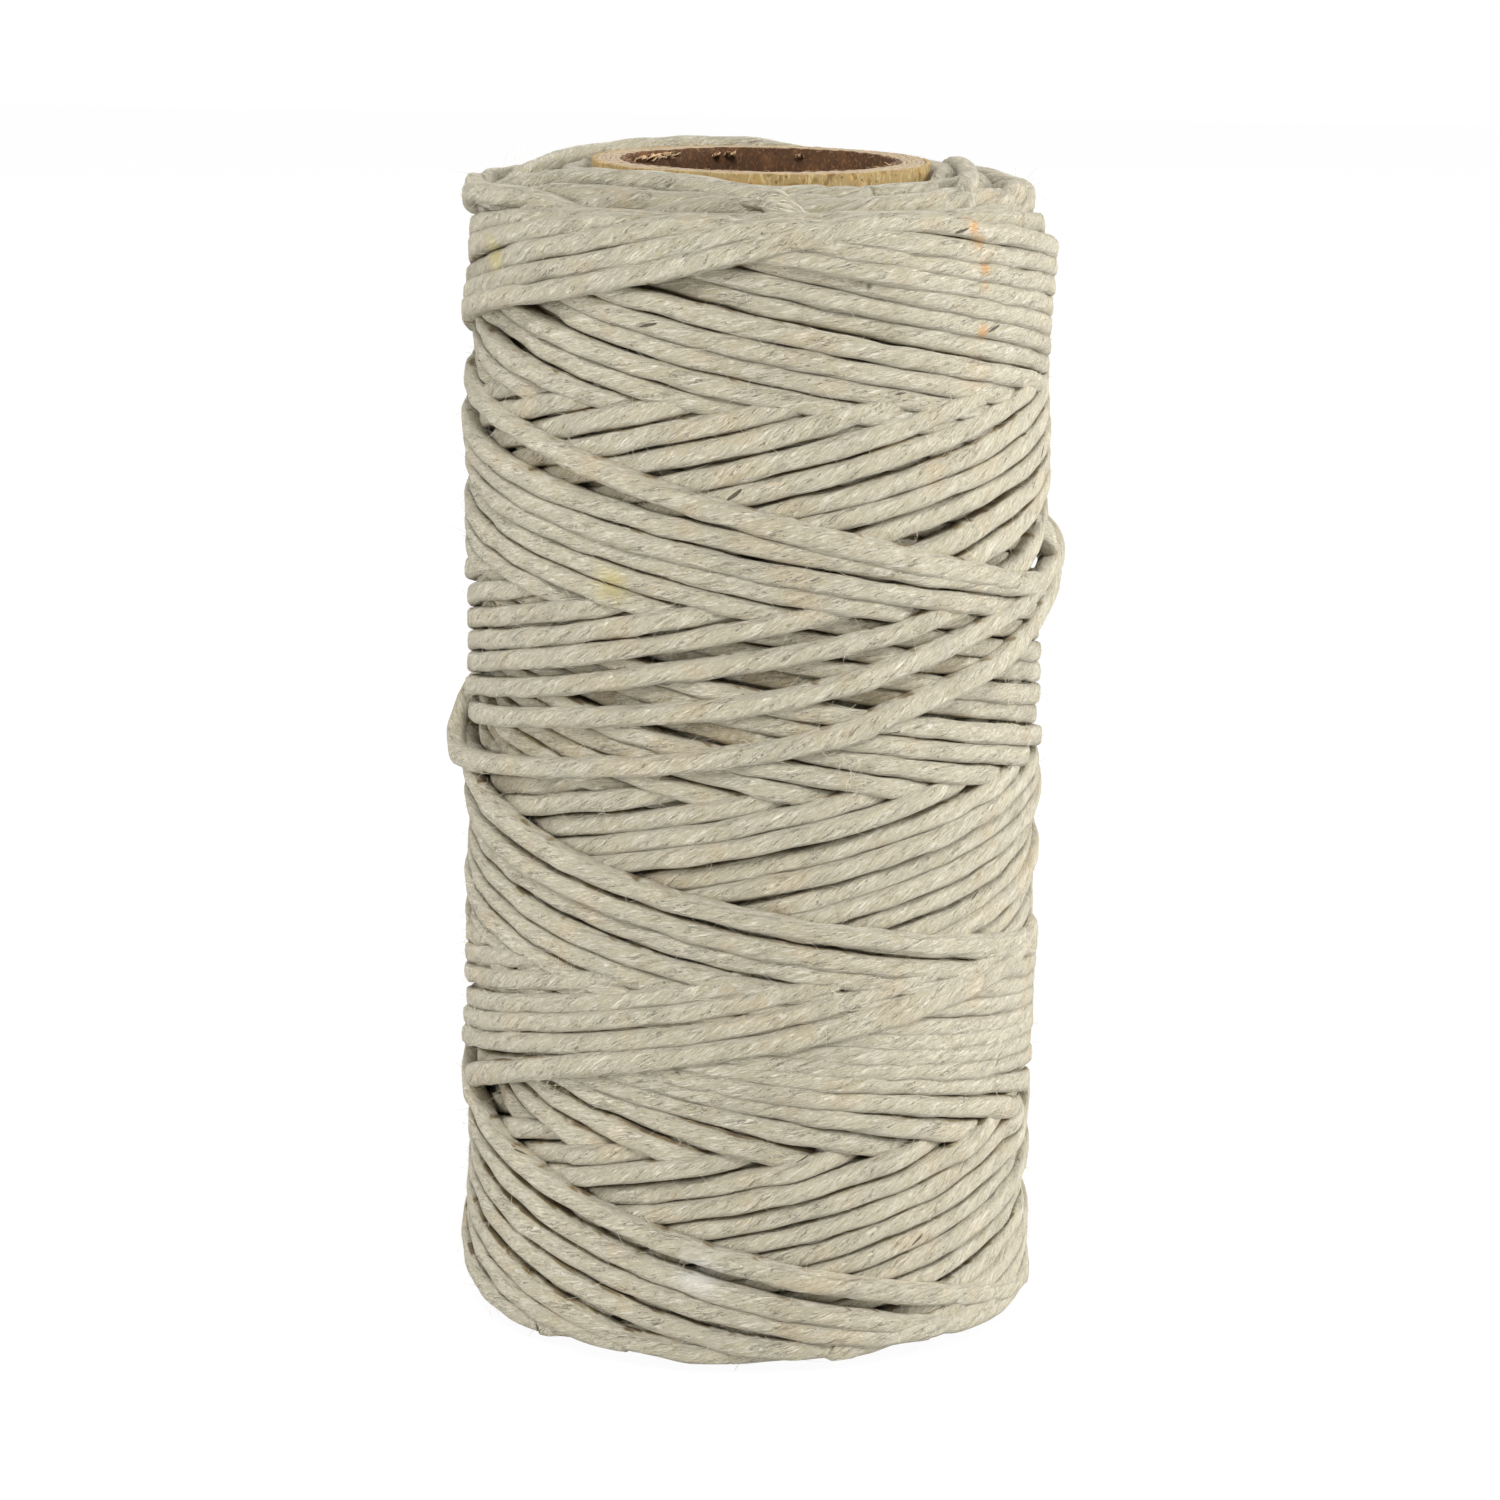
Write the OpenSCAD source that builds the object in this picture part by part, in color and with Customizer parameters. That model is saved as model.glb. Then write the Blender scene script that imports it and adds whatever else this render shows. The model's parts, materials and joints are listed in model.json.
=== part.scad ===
// Natural cotton string, cross-wound on a thick paper tube.
// Millimetres. +Z runs along the tube's axis, and the origin is the centre of its lower end.

/* [Paper tube] */
// Length of the tube, end to end
tube_length = 109.5; // [90:0.5:130]
// Diameter of the bore that goes over a spindle
bore_diameter = 25.4; // [22:0.1:30]
// Thickness of the smooth paper that lines the bore
liner_thickness = 0.4; // [0.2:0.05:0.8]
// Number of board plies between the liner and the face paper
board_plies = 5; // [3:1:7]
// Thickness of one board ply
board_thickness = 0.42; // [0.3:0.02:0.6]
// Thickness of the kraft paper on the outside of the tube
face_thickness = 0.4; // [0.2:0.05:0.8]
// Film of glue between two plies
glue_film = 0.02; // [0.01:0.01:0.04]
// Softened corner that the saw leaves on the liner and on the face paper
edge_break = 0.15; // [0.05:0.05:0.2]

/* [Winding] */
// Diameter of the string
string_diameter = 2; // [1.6:0.1:2.2]
// Diameter over the finished winding
winding_diameter = 55; // [52:0.5:64]
// Bare tube that stands out above the winding
bare_top = 2; // [1:0.5:5]
// Bare tube that stands out below the winding
bare_bottom = 1; // [1:0.5:5]
// Radius that rounds the two ends of the winding
shoulder_radius = 3; // [2:0.5:4]
// Times that the outer layer goes up the tube and down again
round_trips = 4; // [3:1:5]
// Turns round the tube in one trip up and down, rounded up
turns_per_trip = 6; // [5:1:7]

/* [Clearances] */
// Room between the tube and the string wound on it
tube_clearance = 0.2; // [0.1:0.05:0.4]
// Room between the outer layer and the winding under it
layer_clearance = 0.32; // [0.3:0.02:0.6]
// Room between two strands where they cross
crossing_clearance = 0.42; // [0.4:0.02:0.7]

/* [Hidden] */

// Colours of the papers and of the string
liner_colour = [0.40, 0.29, 0.19];
board_colour = [0.66, 0.55, 0.44];
face_colour = [0.72, 0.55, 0.33];
under_string_colour = [0.66, 0.62, 0.52];
string_colour = [0.82, 0.78, 0.68];

// Facets shown on a round paper or winding
smooth = 96;
// Steps that round each shoulder of the inner winding
shoulder_steps = 8;

// Distance that a cut runs past the faces it cuts through
cut_overrun = tube_length / 100;

// Radii of the tube, from the bore outwards
bore_radius = bore_diameter / 2;
liner_outer = bore_radius + liner_thickness;
board_pitch = board_thickness + glue_film;
face_inner = liner_outer + board_plies * board_pitch + glue_film;
tube_outer = face_inner + face_thickness;

// Ends of the winding
winding_bottom = bare_bottom;
winding_top = tube_length - bare_top;

// The outer layer is one strand: rings in one turn, and sides of its section
rings_per_turn = 24;
strand_sides = 6;
string_radius = string_diameter / 2;
ring_step = 360 / rings_per_turn;
// A straight facet between two rings runs this much nearer the axis, as a share of its radius
facet_ratio = cos(ring_step / 2);

// The strand climbs at the lower level and comes down at the upper one, which lies on top of it
outer_radius = winding_diameter / 2;
upper_level = outer_radius - string_radius;
lower_level = upper_level - (string_diameter + crossing_clearance) / facet_ratio;
inner_winding_outer = lower_level * facet_ratio - string_radius - layer_clearance;
inner_winding_bore = tube_outer + tube_clearance;

// Each trip starts a share of a turn behind the last, so the trips spread evenly round the tube
degrees_per_trip = 360 * (turns_per_trip - 1 / round_trips);
degrees_per_way = degrees_per_trip / 2;
// Neighbouring trips first cross half a share away from a reversal, and a reversal ends before that
reversal_half_angle = 120 / round_trips;
lowest_centre = winding_bottom + string_radius;
highest_centre = winding_top - string_radius;
climb_per_degree = (highest_centre - lowest_centre) / (degrees_per_way - reversal_half_angle);

// The strand is cut open at its first lower reversal, where its two ends face each other
end_gap_steps = 1;
end_straight = string_diameter;
first_step = end_gap_steps;
last_step = round(round_trips * degrees_per_trip / ring_step) - end_gap_steps;

function board_ply_name(ply) = str("core_board_ply_", ply);

// Distance that the rounded shoulder draws the winding in, at a depth below its end
function shoulder_inset(depth) =
    let (share = max(0, 1 - depth / shoulder_radius))
    shoulder_radius * (1 - sqrt(1 - share * share));

function depth_below_end(z) = min(z - winding_bottom, winding_top - z);

// Height gained at an angle past the lower reversal: a straight climb with a soft start
function climb(angle) =
    angle < reversal_half_angle
        ? (angle * angle / reversal_half_angle + reversal_half_angle) / 2
        : angle;

// Angle past the nearest lower reversal: below 0 on the way down to it, above 0 on the way up from it
function trip_angle(angle) =
    angle - degrees_per_trip * round(angle / degrees_per_trip);

function strand_height(angle) =
    let (from_bottom = abs(trip_angle(angle)),
         from_top = degrees_per_way - from_bottom,
         soft = reversal_half_angle / 2)
    from_top < from_bottom
        ? highest_centre - (climb(from_top) - soft) * climb_per_degree
        : lowest_centre + (climb(from_bottom) - soft) * climb_per_degree;

// 0 on the way up and 1 on the way down, with a smooth change through each reversal
function smooth_step(share) =
    let (held = min(1, max(0, share)))
    held * held * (3 - 2 * held);

function level_share(angle) =
    let (past = trip_angle(angle),
         near_bottom = abs(past) < degrees_per_way / 2,
         signed = near_bottom ? -past : (past > 0 ? past - degrees_per_way : past + degrees_per_way))
    smooth_step(signed / reversal_half_angle / 2 + 1 / 2);

function strand_centre(angle) =
    let (z = strand_height(angle),
         level = lower_level + (upper_level - lower_level) * level_share(angle),
         r = level - shoulder_inset(depth_below_end(z)))
    [r * cos(angle), r * sin(angle), z];

function unit(v) = v / norm(v);

// Centres of the rings, with a straight end of one diameter at both ends
ring_centres = [for (step = [first_step:last_step]) strand_centre(step * ring_step)];
ring_count = len(ring_centres);
start_way = unit(ring_centres[0] - ring_centres[1]);
end_way = unit(ring_centres[ring_count - 1] - ring_centres[ring_count - 2]);
route = concat(
    [ring_centres[0] + end_straight * start_way],
    ring_centres,
    [ring_centres[ring_count - 1] + end_straight * end_way]
);

// Direction of the strand at a point of its route
function way_at(points, i) =
    unit(points[min(i + 1, len(points) - 1)] - points[max(i - 1, 0)]);

// One ring of the strand's section, square to the strand, with a corner facing outwards
function section_ring(points, i) =
    let (way = way_at(points, i),
         outwards = unit([points[i].x, points[i].y, 0]),
         across = unit(cross(way, outwards)),
         up = cross(across, way))
    [for (side = [0:strand_sides - 1])
        let (turn = side * 360 / strand_sides)
        points[i] + string_radius * (cos(turn) * up + sin(turn) * across)];

// Least distance between the strand's surfaces at two passes, measured on points along its facets.
// Every turn has its rings at the same angles, so near points lie whole turns apart, give or take.
samples_per_step = 3;
near_samples = 3;
samples = [
    for (i = [0:ring_count - 2])
        for (part = [0:samples_per_step - 1])
            ring_centres[i] + (ring_centres[i + 1] - ring_centres[i]) * part / samples_per_step
];
samples_per_turn = rings_per_turn * samples_per_step;
least_centre_distance = min([
    for (i = [0:len(samples) - 1])
        for (turn = [1:floor((len(samples) - i) / samples_per_turn)])
            for (shift = [-near_samples:near_samples])
                let (j = i + turn * samples_per_turn + shift)
                if (j < len(samples)) norm(samples[j] - samples[i])
]);
echo(least_gap_of_the_strand_to_itself = least_centre_distance - string_diameter);
echo(gap_between_the_two_ends = norm(route[0] - route[len(route) - 1]));
echo(turns = (ring_count - 1) / rings_per_turn, triangles = 2 * strand_sides * (len(route) - 1) + 8);
echo(pitch = 360 * climb_per_degree, tube_outer = tube_outer, inner_winding_outer = inner_winding_outer);

// One paper ply: a plain sleeve as long as the tube
module sleeve(inner, outer) {
    difference() {
        cylinder(h = tube_length, r = outer, $fn = smooth);
        translate([0, 0, -cut_overrun])
            cylinder(h = tube_length + 2 * cut_overrun, r = inner, $fn = smooth);
    }
}

// The smooth paper inside, its edge softened at the mouths of the bore
module core_liner_ply() {
    color(liner_colour)
        difference() {
            sleeve(bore_radius, liner_outer);
            mouth_break();
            translate([0, 0, tube_length])
                mirror([0, 0, 1])
                    mouth_break();
        }
}

module mouth_break() {
    translate([0, 0, -edge_break])
        cylinder(h = 2 * edge_break, r1 = bore_radius + 2 * edge_break, r2 = bore_radius, $fn = smooth);
}

module core_board_ply(ply) {
    inner = liner_outer + glue_film + (ply - 1) * board_pitch;
    color(board_colour)
        sleeve(inner, inner + board_thickness);
}

// The kraft paper outside, its outer corners softened
module core_face_ply() {
    color(face_colour)
        rotate_extrude($fn = smooth)
            polygon([
                [face_inner, 0],
                [tube_outer - edge_break, 0],
                [tube_outer, edge_break],
                [tube_outer, tube_length - edge_break],
                [tube_outer - edge_break, tube_length],
                [face_inner, tube_length]
            ]);
}

// The turns that the outer layer hides, as one ring with rounded shoulders
module inner_winding() {
    depths = [for (i = [0:shoulder_steps]) shoulder_radius * (1 - cos(90 * i / shoulder_steps))];
    lower = [for (d = depths) [inner_winding_outer - shoulder_inset(d), winding_bottom + d]];
    upper = [for (i = [shoulder_steps:-1:0])
        [inner_winding_outer - shoulder_inset(depths[i]), winding_top - depths[i]]];
    color(under_string_colour)
        rotate_extrude($fn = smooth)
            polygon(concat([[inner_winding_bore, winding_bottom]], lower, upper,
                           [[inner_winding_bore, winding_top]]));
}

// The outer layer: one unbroken strand that crosses over itself on its way down
module outer_winding() {
    points = [for (i = [0:len(route) - 1]) each section_ring(route, i)];
    last_ring = len(route) - 1;
    sides = [
        for (i = [0:last_ring - 1])
            for (side = [0:strand_sides - 1])
                let (next = (side + 1) % strand_sides,
                     a = i * strand_sides + side,
                     b = i * strand_sides + next,
                     c = a + strand_sides,
                     d = b + strand_sides)
                each [[a, d, b], [a, c, d]]
    ];
    start_cap = [for (side = [1:strand_sides - 2]) [0, side, side + 1]];
    end_base = last_ring * strand_sides;
    end_cap = [for (side = [1:strand_sides - 2]) [end_base, end_base + side + 1, end_base + side]];
    color(string_colour)
        polyhedron(points = points, faces = concat(sides, start_cap, end_cap), convexity = 20);
}

core_liner_ply();
for (ply = [1:board_plies])
    core_board_ply(ply);
core_face_ply();
inner_winding();
outer_winding();
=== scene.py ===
# %% [markdown]
# # A spool of natural cotton string
#
# The real thing is about 40 m of soft two-millimetre cotton string, cross-wound by machine on a
# thick paper tube. This notebook dresses the measured solids of the spool for a picture: it winds the
# string again, turn by turn, and gives the paper and the cotton their surfaces.
#
# The first cell loads the solids. They stay where they are, and every piece made here is placed from
# their measurements. Blender works in metres. The winding is easier to think about in millimetres,
# so one value converts between them.

# %% Load the solids and measure them
import json
import math

import bpy
import numpy as np
from mathutils import Matrix, Vector


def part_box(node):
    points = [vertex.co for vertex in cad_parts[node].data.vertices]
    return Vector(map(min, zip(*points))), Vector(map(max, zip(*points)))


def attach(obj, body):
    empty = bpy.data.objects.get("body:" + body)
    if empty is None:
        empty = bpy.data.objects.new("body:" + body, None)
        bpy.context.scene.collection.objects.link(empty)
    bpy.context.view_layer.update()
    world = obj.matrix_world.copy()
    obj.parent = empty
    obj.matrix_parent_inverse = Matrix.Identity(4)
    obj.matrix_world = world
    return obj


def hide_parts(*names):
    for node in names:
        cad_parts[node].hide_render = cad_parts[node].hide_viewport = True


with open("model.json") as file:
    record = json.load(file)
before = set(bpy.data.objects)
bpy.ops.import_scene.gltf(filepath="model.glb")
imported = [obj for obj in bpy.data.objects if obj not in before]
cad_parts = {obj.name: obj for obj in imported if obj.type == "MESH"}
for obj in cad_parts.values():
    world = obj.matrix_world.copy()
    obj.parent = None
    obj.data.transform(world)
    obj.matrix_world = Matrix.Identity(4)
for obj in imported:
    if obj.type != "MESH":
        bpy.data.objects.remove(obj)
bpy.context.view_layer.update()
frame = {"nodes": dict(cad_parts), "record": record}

MM = 0.001


def outer_radius(node):
    """Radius of a round node round the Z axis, in millimetres."""
    low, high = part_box(node)
    return max(high.x, -low.x) / MM


tube_low, tube_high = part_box("core_face_ply")
TUBE_LENGTH = (tube_high.z - tube_low.z) / MM
TUBE_RADIUS = outer_radius("core_face_ply")
BORE_RADIUS = frame["record"]["mounts"][0]["dims"]["r_mm"]
winding_low, winding_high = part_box("inner_winding")
WINDING_BOTTOM = winding_low.z / MM
WINDING_TOP = winding_high.z / MM
WINDING_RADIUS = outer_radius("outer_winding")
print(f"tube {TUBE_LENGTH:.1f} mm long, bore {BORE_RADIUS * 2:.1f}, outside {TUBE_RADIUS * 2:.1f}")
print(f"winding from {WINDING_BOTTOM:.1f} to {WINDING_TOP:.1f} mm, {WINDING_RADIUS * 2:.1f} across")

# %% [markdown]
# ## Camera
#
# A product shot of something this small is taken with a long lens from a little above, which keeps the
# sides nearly parallel. The camera could be aimed with a Track To constraint. Here its axes are worked
# out directly, because the picture is also rolled by a fraction of a degree, and a constraint has no
# roll. The tilt and the distance set how round the top ellipse looks, and the lens then sets how large
# the spool stands in the picture.

# %% Camera
LENS = 105.4
CAMERA_DISTANCE = 420.2
CAMERA_TILT = math.radians(12.54)
CAMERA_ROLL = math.radians(0.81)
CAMERA_TARGET = Vector((-0.26, 0, 53.2))


def camera_axes():
    """Right, up and forward of the camera."""
    forward = Vector((0, math.cos(CAMERA_TILT), -math.sin(CAMERA_TILT)))
    level = Vector((1, 0, 0))
    upright = level.cross(forward)
    right = math.cos(CAMERA_ROLL) * level + math.sin(CAMERA_ROLL) * upright
    up = math.cos(CAMERA_ROLL) * upright - math.sin(CAMERA_ROLL) * level
    return right, up, forward


def make_camera():
    right, up, forward = camera_axes()
    data = bpy.data.cameras.new("camera")
    data.lens = LENS
    data.clip_start = 0.01
    camera = bpy.data.objects.new("camera", data)
    turn = Matrix((right, up, -forward)).transposed().to_4x4()
    place = (CAMERA_TARGET - forward * CAMERA_DISTANCE) * MM
    camera.matrix_world = Matrix.Translation(place) @ turn
    bpy.context.scene.collection.objects.link(camera)
    bpy.context.scene.camera = camera
    return camera


camera = make_camera()
print("camera at", [round(x / MM, 1) for x in camera.matrix_world.translation], "mm")

# %% [markdown]
# ## Node helpers
#
# A material in Blender is a graph of nodes. Building one in Python takes three lines a node: add it,
# set its values, link its inputs. The helpers below do those three in one call, so that a material
# reads like a recipe.

# %% Node helpers
def put(tree, kind, inputs=None, **settings):
    """Adds a node. An input is given a value, or the socket of another node."""
    made = tree.nodes.new(kind)
    for name, value in settings.items():
        setattr(made, name, value)
    for name, value in (inputs or {}).items():
        if isinstance(value, bpy.types.NodeSocket):
            tree.links.new(value, made.inputs[name])
        else:
            made.inputs[name].default_value = value
    return made


def calc(tree, operation, *values):
    """One step of arithmetic."""
    return put(tree, "ShaderNodeMath", dict(enumerate(values)), operation=operation).outputs[0]


def ramp(tree, value, low, high, to_low=0.0, to_high=1.0):
    """A smooth change from to_low to to_high while value goes from low to high."""
    inputs = {"Value": value, "From Min": low, "From Max": high, "To Min": to_low, "To Max": to_high}
    return put(tree, "ShaderNodeMapRange", inputs, interpolation_type="SMOOTHSTEP").outputs["Result"]


def noise(tree, vector, scale, detail=3.0, roughness=0.55, distortion=0.0):
    inputs = {"Vector": vector, "Scale": scale, "Detail": detail, "Roughness": roughness,
              "Distortion": distortion}
    return put(tree, "ShaderNodeTexNoise", inputs).outputs["Fac"]


def blend_colours(tree, share, first, second):
    """first where share is 0 and second where it is 1."""
    inputs = {0: share, 6: first, 7: second}
    made = put(tree, "ShaderNodeMix", inputs, data_type="RGBA", clamp_factor=True)
    return made.outputs[2]


def tint(tree, colour, mask, share, second):
    """The colour with a share of a second one where the mask is 1."""
    return blend_colours(tree, calc(tree, "MULTIPLY", mask, share), colour, second)


def own_space(tree):
    """Where a point lies in the object's own space, in metres."""
    return put(tree, "ShaderNodeTexCoord").outputs["Object"]


print("node helpers ready")

# %% [markdown]
# An effect that several materials share, such as mottling, becomes a node group with named inputs and
# outputs. It could be copied into each material, but as a group it is built once and placed with other
# values each time.

# %% Node groups
def new_group(name, inputs, outputs):
    """An empty node group with its sockets. Gives the tree, its input node and its output node."""
    tree = bpy.data.node_groups.new(name, "ShaderNodeTree")
    for label, kind, value in inputs:
        socket = tree.interface.new_socket(label, in_out="INPUT", socket_type="NodeSocket" + kind)
        if value is not None:
            socket.default_value = value
    for label, kind in outputs:
        tree.interface.new_socket(label, in_out="OUTPUT", socket_type="NodeSocket" + kind)
    return tree, tree.nodes.new("NodeGroupInput"), tree.nodes.new("NodeGroupOutput")


def place_group(tree, group, inputs):
    """Places a group with these values or links, and gives its outputs."""
    return put(tree, "ShaderNodeGroup", inputs, node_tree=group).outputs


print("node groups ready")

# %% [markdown]
# Each material here has one Principled shader, fed with a colour and, for string and paper, a height.
# Colours are written as they look on a screen, from 0 to 255, and a shader wants them *linear*, in
# proportion to the light. The height becomes a *bump*. It only changes how light falls on the surface,
# and costs no faces.

# %% Materials
def linear(red, green, blue):
    """A screen colour, from 0 to 255, turned into the linear values of a shader."""
    def channel(v):
        v = v / 255
        return v / 12.92 if v <= 0.04045 else ((v + 0.055) / 1.055) ** 2.4
    return (channel(red), channel(green), channel(blue), 1.0)


def new_material(name, finish):
    """A material whose Principled shader has these values. Gives it, its tree and its shader."""
    material = bpy.data.materials.new(name)
    material.use_nodes = True
    tree = material.node_tree
    tree.nodes.clear()
    shader = put(tree, "ShaderNodeBsdfPrincipled", finish)
    put(tree, "ShaderNodeOutputMaterial", {"Surface": shader.outputs["BSDF"]})
    return material, tree, shader


def colour_and_relief(tree, shader, colour, height, strength, distance):
    """Links a colour and a height to the shader. The height stands out by a distance in metres."""
    bump = put(tree, "ShaderNodeBump", {"Height": height, "Strength": strength, "Distance": distance})
    tree.links.new(colour, shader.inputs["Base Color"])
    tree.links.new(bump.outputs["Normal"], shader.inputs["Normal"])


print("a middle grey of 128 is", round(linear(128, 128, 128)[0], 3), "as a linear value")

# %% [markdown]
# ## Shared effects
#
# *Mottling* is what every natural fibre has: cloudy patches a little warmer or greyer than the rest.
# It could be painted on an image. Noise in the object's own space does the same without one, and has
# no seams.

# %% Mottling
def mottling_group():
    tree, source, result = new_group(
        "mottling",
        [("Colour", "Color", (0.5, 0.5, 0.5, 1)), ("Warm", "Color", (0.5, 0.4, 0.3, 1)),
         ("Grey", "Color", (0.4, 0.4, 0.4, 1)), ("Size mm", "Float", 8.0), ("Amount", "Float", 0.5)],
        [("Colour", "Color")])
    space = own_space(tree)
    per_metre = calc(tree, "DIVIDE", 1 / MM, source.outputs["Size mm"])
    warm = ramp(tree, noise(tree, space, per_metre), 0.5, 0.72)
    shifted = put(tree, "ShaderNodeVectorMath", {0: space, 1: (0.31, 0.17, 0.23)}).outputs[0]
    grey = ramp(tree, noise(tree, shifted, calc(tree, "MULTIPLY", per_metre, 1.6)), 0.5, 0.75)
    amount = source.outputs["Amount"]
    warmed = blend_colours(tree, calc(tree, "MULTIPLY", warm, amount),
                           source.outputs["Colour"], source.outputs["Warm"])
    greyed = blend_colours(tree, calc(tree, "MULTIPLY", grey, amount), warmed, source.outputs["Grey"])
    tree.links.new(greyed, result.inputs["Colour"])
    return tree


mottling = mottling_group()
print("shared effect:", mottling.name)

# %% [markdown]
# *Specks* are bits of seed coat in raw cotton and of bark in kraft paper. Space is divided into cells
# round random points. A few cells are picked by chance, and each of those has a ragged speck round its
# point. Scattered small meshes would do too, but thousands of them are slow.

# %% Specks
def specks_group():
    tree, source, result = new_group(
        "specks",
        [("Vector", "Vector", None), ("Scale", "Float", 1.0), ("Share", "Float", 0.1),
         ("Radius", "Float", 0.12)],
        [("Mask", "Float")])
    cells = put(tree, "ShaderNodeTexVoronoi",
                {"Vector": source.outputs["Vector"], "Scale": source.outputs["Scale"]})
    chance = put(tree, "ShaderNodeSeparateColor", {0: cells.outputs["Color"]}).outputs[0]
    chosen = calc(tree, "LESS_THAN", chance, source.outputs["Share"])
    ragged = calc(tree, "MULTIPLY", noise(tree, source.outputs["Vector"],
                                          calc(tree, "MULTIPLY", source.outputs["Scale"], 6.0)), 0.16)
    distance = calc(tree, "ADD", cells.outputs["Distance"], calc(tree, "SUBTRACT", ragged, 0.08))
    inside = calc(tree, "LESS_THAN", distance, source.outputs["Radius"])
    tree.links.new(calc(tree, "MULTIPLY", chosen, inside), result.inputs["Mask"])
    return tree


specks = specks_group()
print("shared effect:", specks.name)

# %% [markdown]
# A *stain* is a soft spot round one point, where a dirty finger or a drop has touched the string. Noise
# breaks up its edge, so that it looks soaked in and not painted on.

# %% Stain
def stain_group():
    tree, source, result = new_group(
        "stain",
        [("Colour", "Color", (0.5, 0.5, 0.5, 1)), ("Stain", "Color", (0.5, 0.3, 0.1, 1)),
         ("Centre", "Vector", None), ("Radius mm", "Float", 2.0), ("Strength", "Float", 0.6)],
        [("Colour", "Color")])
    space = own_space(tree)
    apart = put(tree, "ShaderNodeVectorMath", {0: space, 1: source.outputs["Centre"]},
                operation="DISTANCE").outputs["Value"]
    apart_mm = calc(tree, "DIVIDE", apart, MM)
    ragged = calc(tree, "MULTIPLY", noise(tree, space, 1100.0), 0.9)
    share = calc(tree, "ADD", calc(tree, "DIVIDE", apart_mm, source.outputs["Radius mm"]), ragged)
    mask = calc(tree, "MULTIPLY", ramp(tree, share, 0.55, 1.45, 1.0, 0.0), source.outputs["Strength"])
    tree.links.new(blend_colours(tree, mask, source.outputs["Colour"], source.outputs["Stain"]),
                   result.inputs["Colour"])
    return tree


stain = stain_group()
print("shared effect:", stain.name)

# %% [markdown]
# ## Cotton string: the finish
#
# Soft string is three plies of carded cotton twisted together to the left. Each ply is a bundle of
# short fibres that also run at a slant, so the surface shows fine slanting streaks and, here and
# there, the shallow groove between two plies. A texture that wraps round a tube has a seam where the
# coordinate jumps from 1 to 0. Turning the angle into a cosine and a sine first gives a point on a
# circle, which has none. Adding the distance along the string to the angle makes the circle turn, and
# the streaks become a helix.

# %% Cotton string: twist
UV_LENGTH = 10.0
TWIST_PITCH = 19.0
PLIES = 3
FIBRE_STRETCH = 0.16
HAIR_FIELDS = ((4.0, 0.46), (6.5, 0.55))


def hair_lines(tree, fibres):
    """Thin dark lines in patches. A line is where a noise passes through one level."""
    total = None
    for scale, level in HAIR_FIELDS:
        field = noise(tree, fibres, scale, detail=1.5, distortion=0.5)
        off = calc(tree, "ABSOLUTE", calc(tree, "SUBTRACT", field, level))
        line = ramp(tree, off, 0.004, 0.022, 1.0, 0.0)
        total = line if total is None else calc(tree, "MAXIMUM", total, line)
    where = ramp(tree, noise(tree, fibres, 2.4, detail=3.0, roughness=0.7), 0.5, 0.6)
    return calc(tree, "MULTIPLY", total, where)


def twist_group():
    """Streaks and ply grooves along a helix. Strand is (distance along, turn round the string)."""
    tree, source, result = new_group(
        "cotton_twist", [("Strand", "Vector", None), ("Pitch mm", "Float", TWIST_PITCH)],
        [("Streaks", "Float"), ("Groove", "Float"), ("Hairs", "Float"), ("Along", "Vector")])
    parts = put(tree, "ShaderNodeSeparateXYZ", {0: source.outputs["Strand"]})
    along = calc(tree, "MULTIPLY", parts.outputs["X"], UV_LENGTH)
    turns = calc(tree, "ADD", parts.outputs["Y"],
                 calc(tree, "DIVIDE", along, source.outputs["Pitch mm"]))
    angle = calc(tree, "MULTIPLY", turns, math.tau)
    circle = {"X": calc(tree, "COSINE", angle), "Y": calc(tree, "SINE", angle)}
    circle["Z"] = calc(tree, "MULTIPLY", along, FIBRE_STRETCH)
    fibres = put(tree, "ShaderNodeCombineXYZ", circle).outputs[0]
    fine = noise(tree, fibres, 9.0, detail=4.0, roughness=0.7, distortion=0.3)
    broad = noise(tree, fibres, 2.2, detail=2.0)
    mixed = calc(tree, "ADD", calc(tree, "MULTIPLY", fine, 0.75), calc(tree, "MULTIPLY", broad, 0.25))
    streaks = ramp(tree, mixed, 0.36, 0.64)
    line = put(tree, "ShaderNodeCombineXYZ", {"X": calc(tree, "MULTIPLY", along, 0.45)}).outputs[0]
    sway = calc(tree, "MULTIPLY", calc(tree, "SUBTRACT", noise(tree, line, 1.0), 0.5), 3.0)
    swayed = calc(tree, "ADD", calc(tree, "MULTIPLY", angle, PLIES / 2), sway)
    ply = calc(tree, "ABSOLUTE", calc(tree, "SINE", swayed))
    groove = ramp(tree, ply, 0.0, 0.22, 1.0, 0.0)
    patchy = ramp(tree, noise(tree, fibres, 1.3, detail=3.0), 0.52, 0.64)
    tree.links.new(streaks, result.inputs["Streaks"])
    tree.links.new(calc(tree, "MULTIPLY", groove, patchy), result.inputs["Groove"])
    tree.links.new(fibres, result.inputs["Along"])
    tree.links.new(hair_lines(tree, fibres), result.inputs["Hairs"])
    return tree


twist = twist_group()
print("twist group ready, one turn of the plies every", TWIST_PITCH, "mm")
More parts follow.
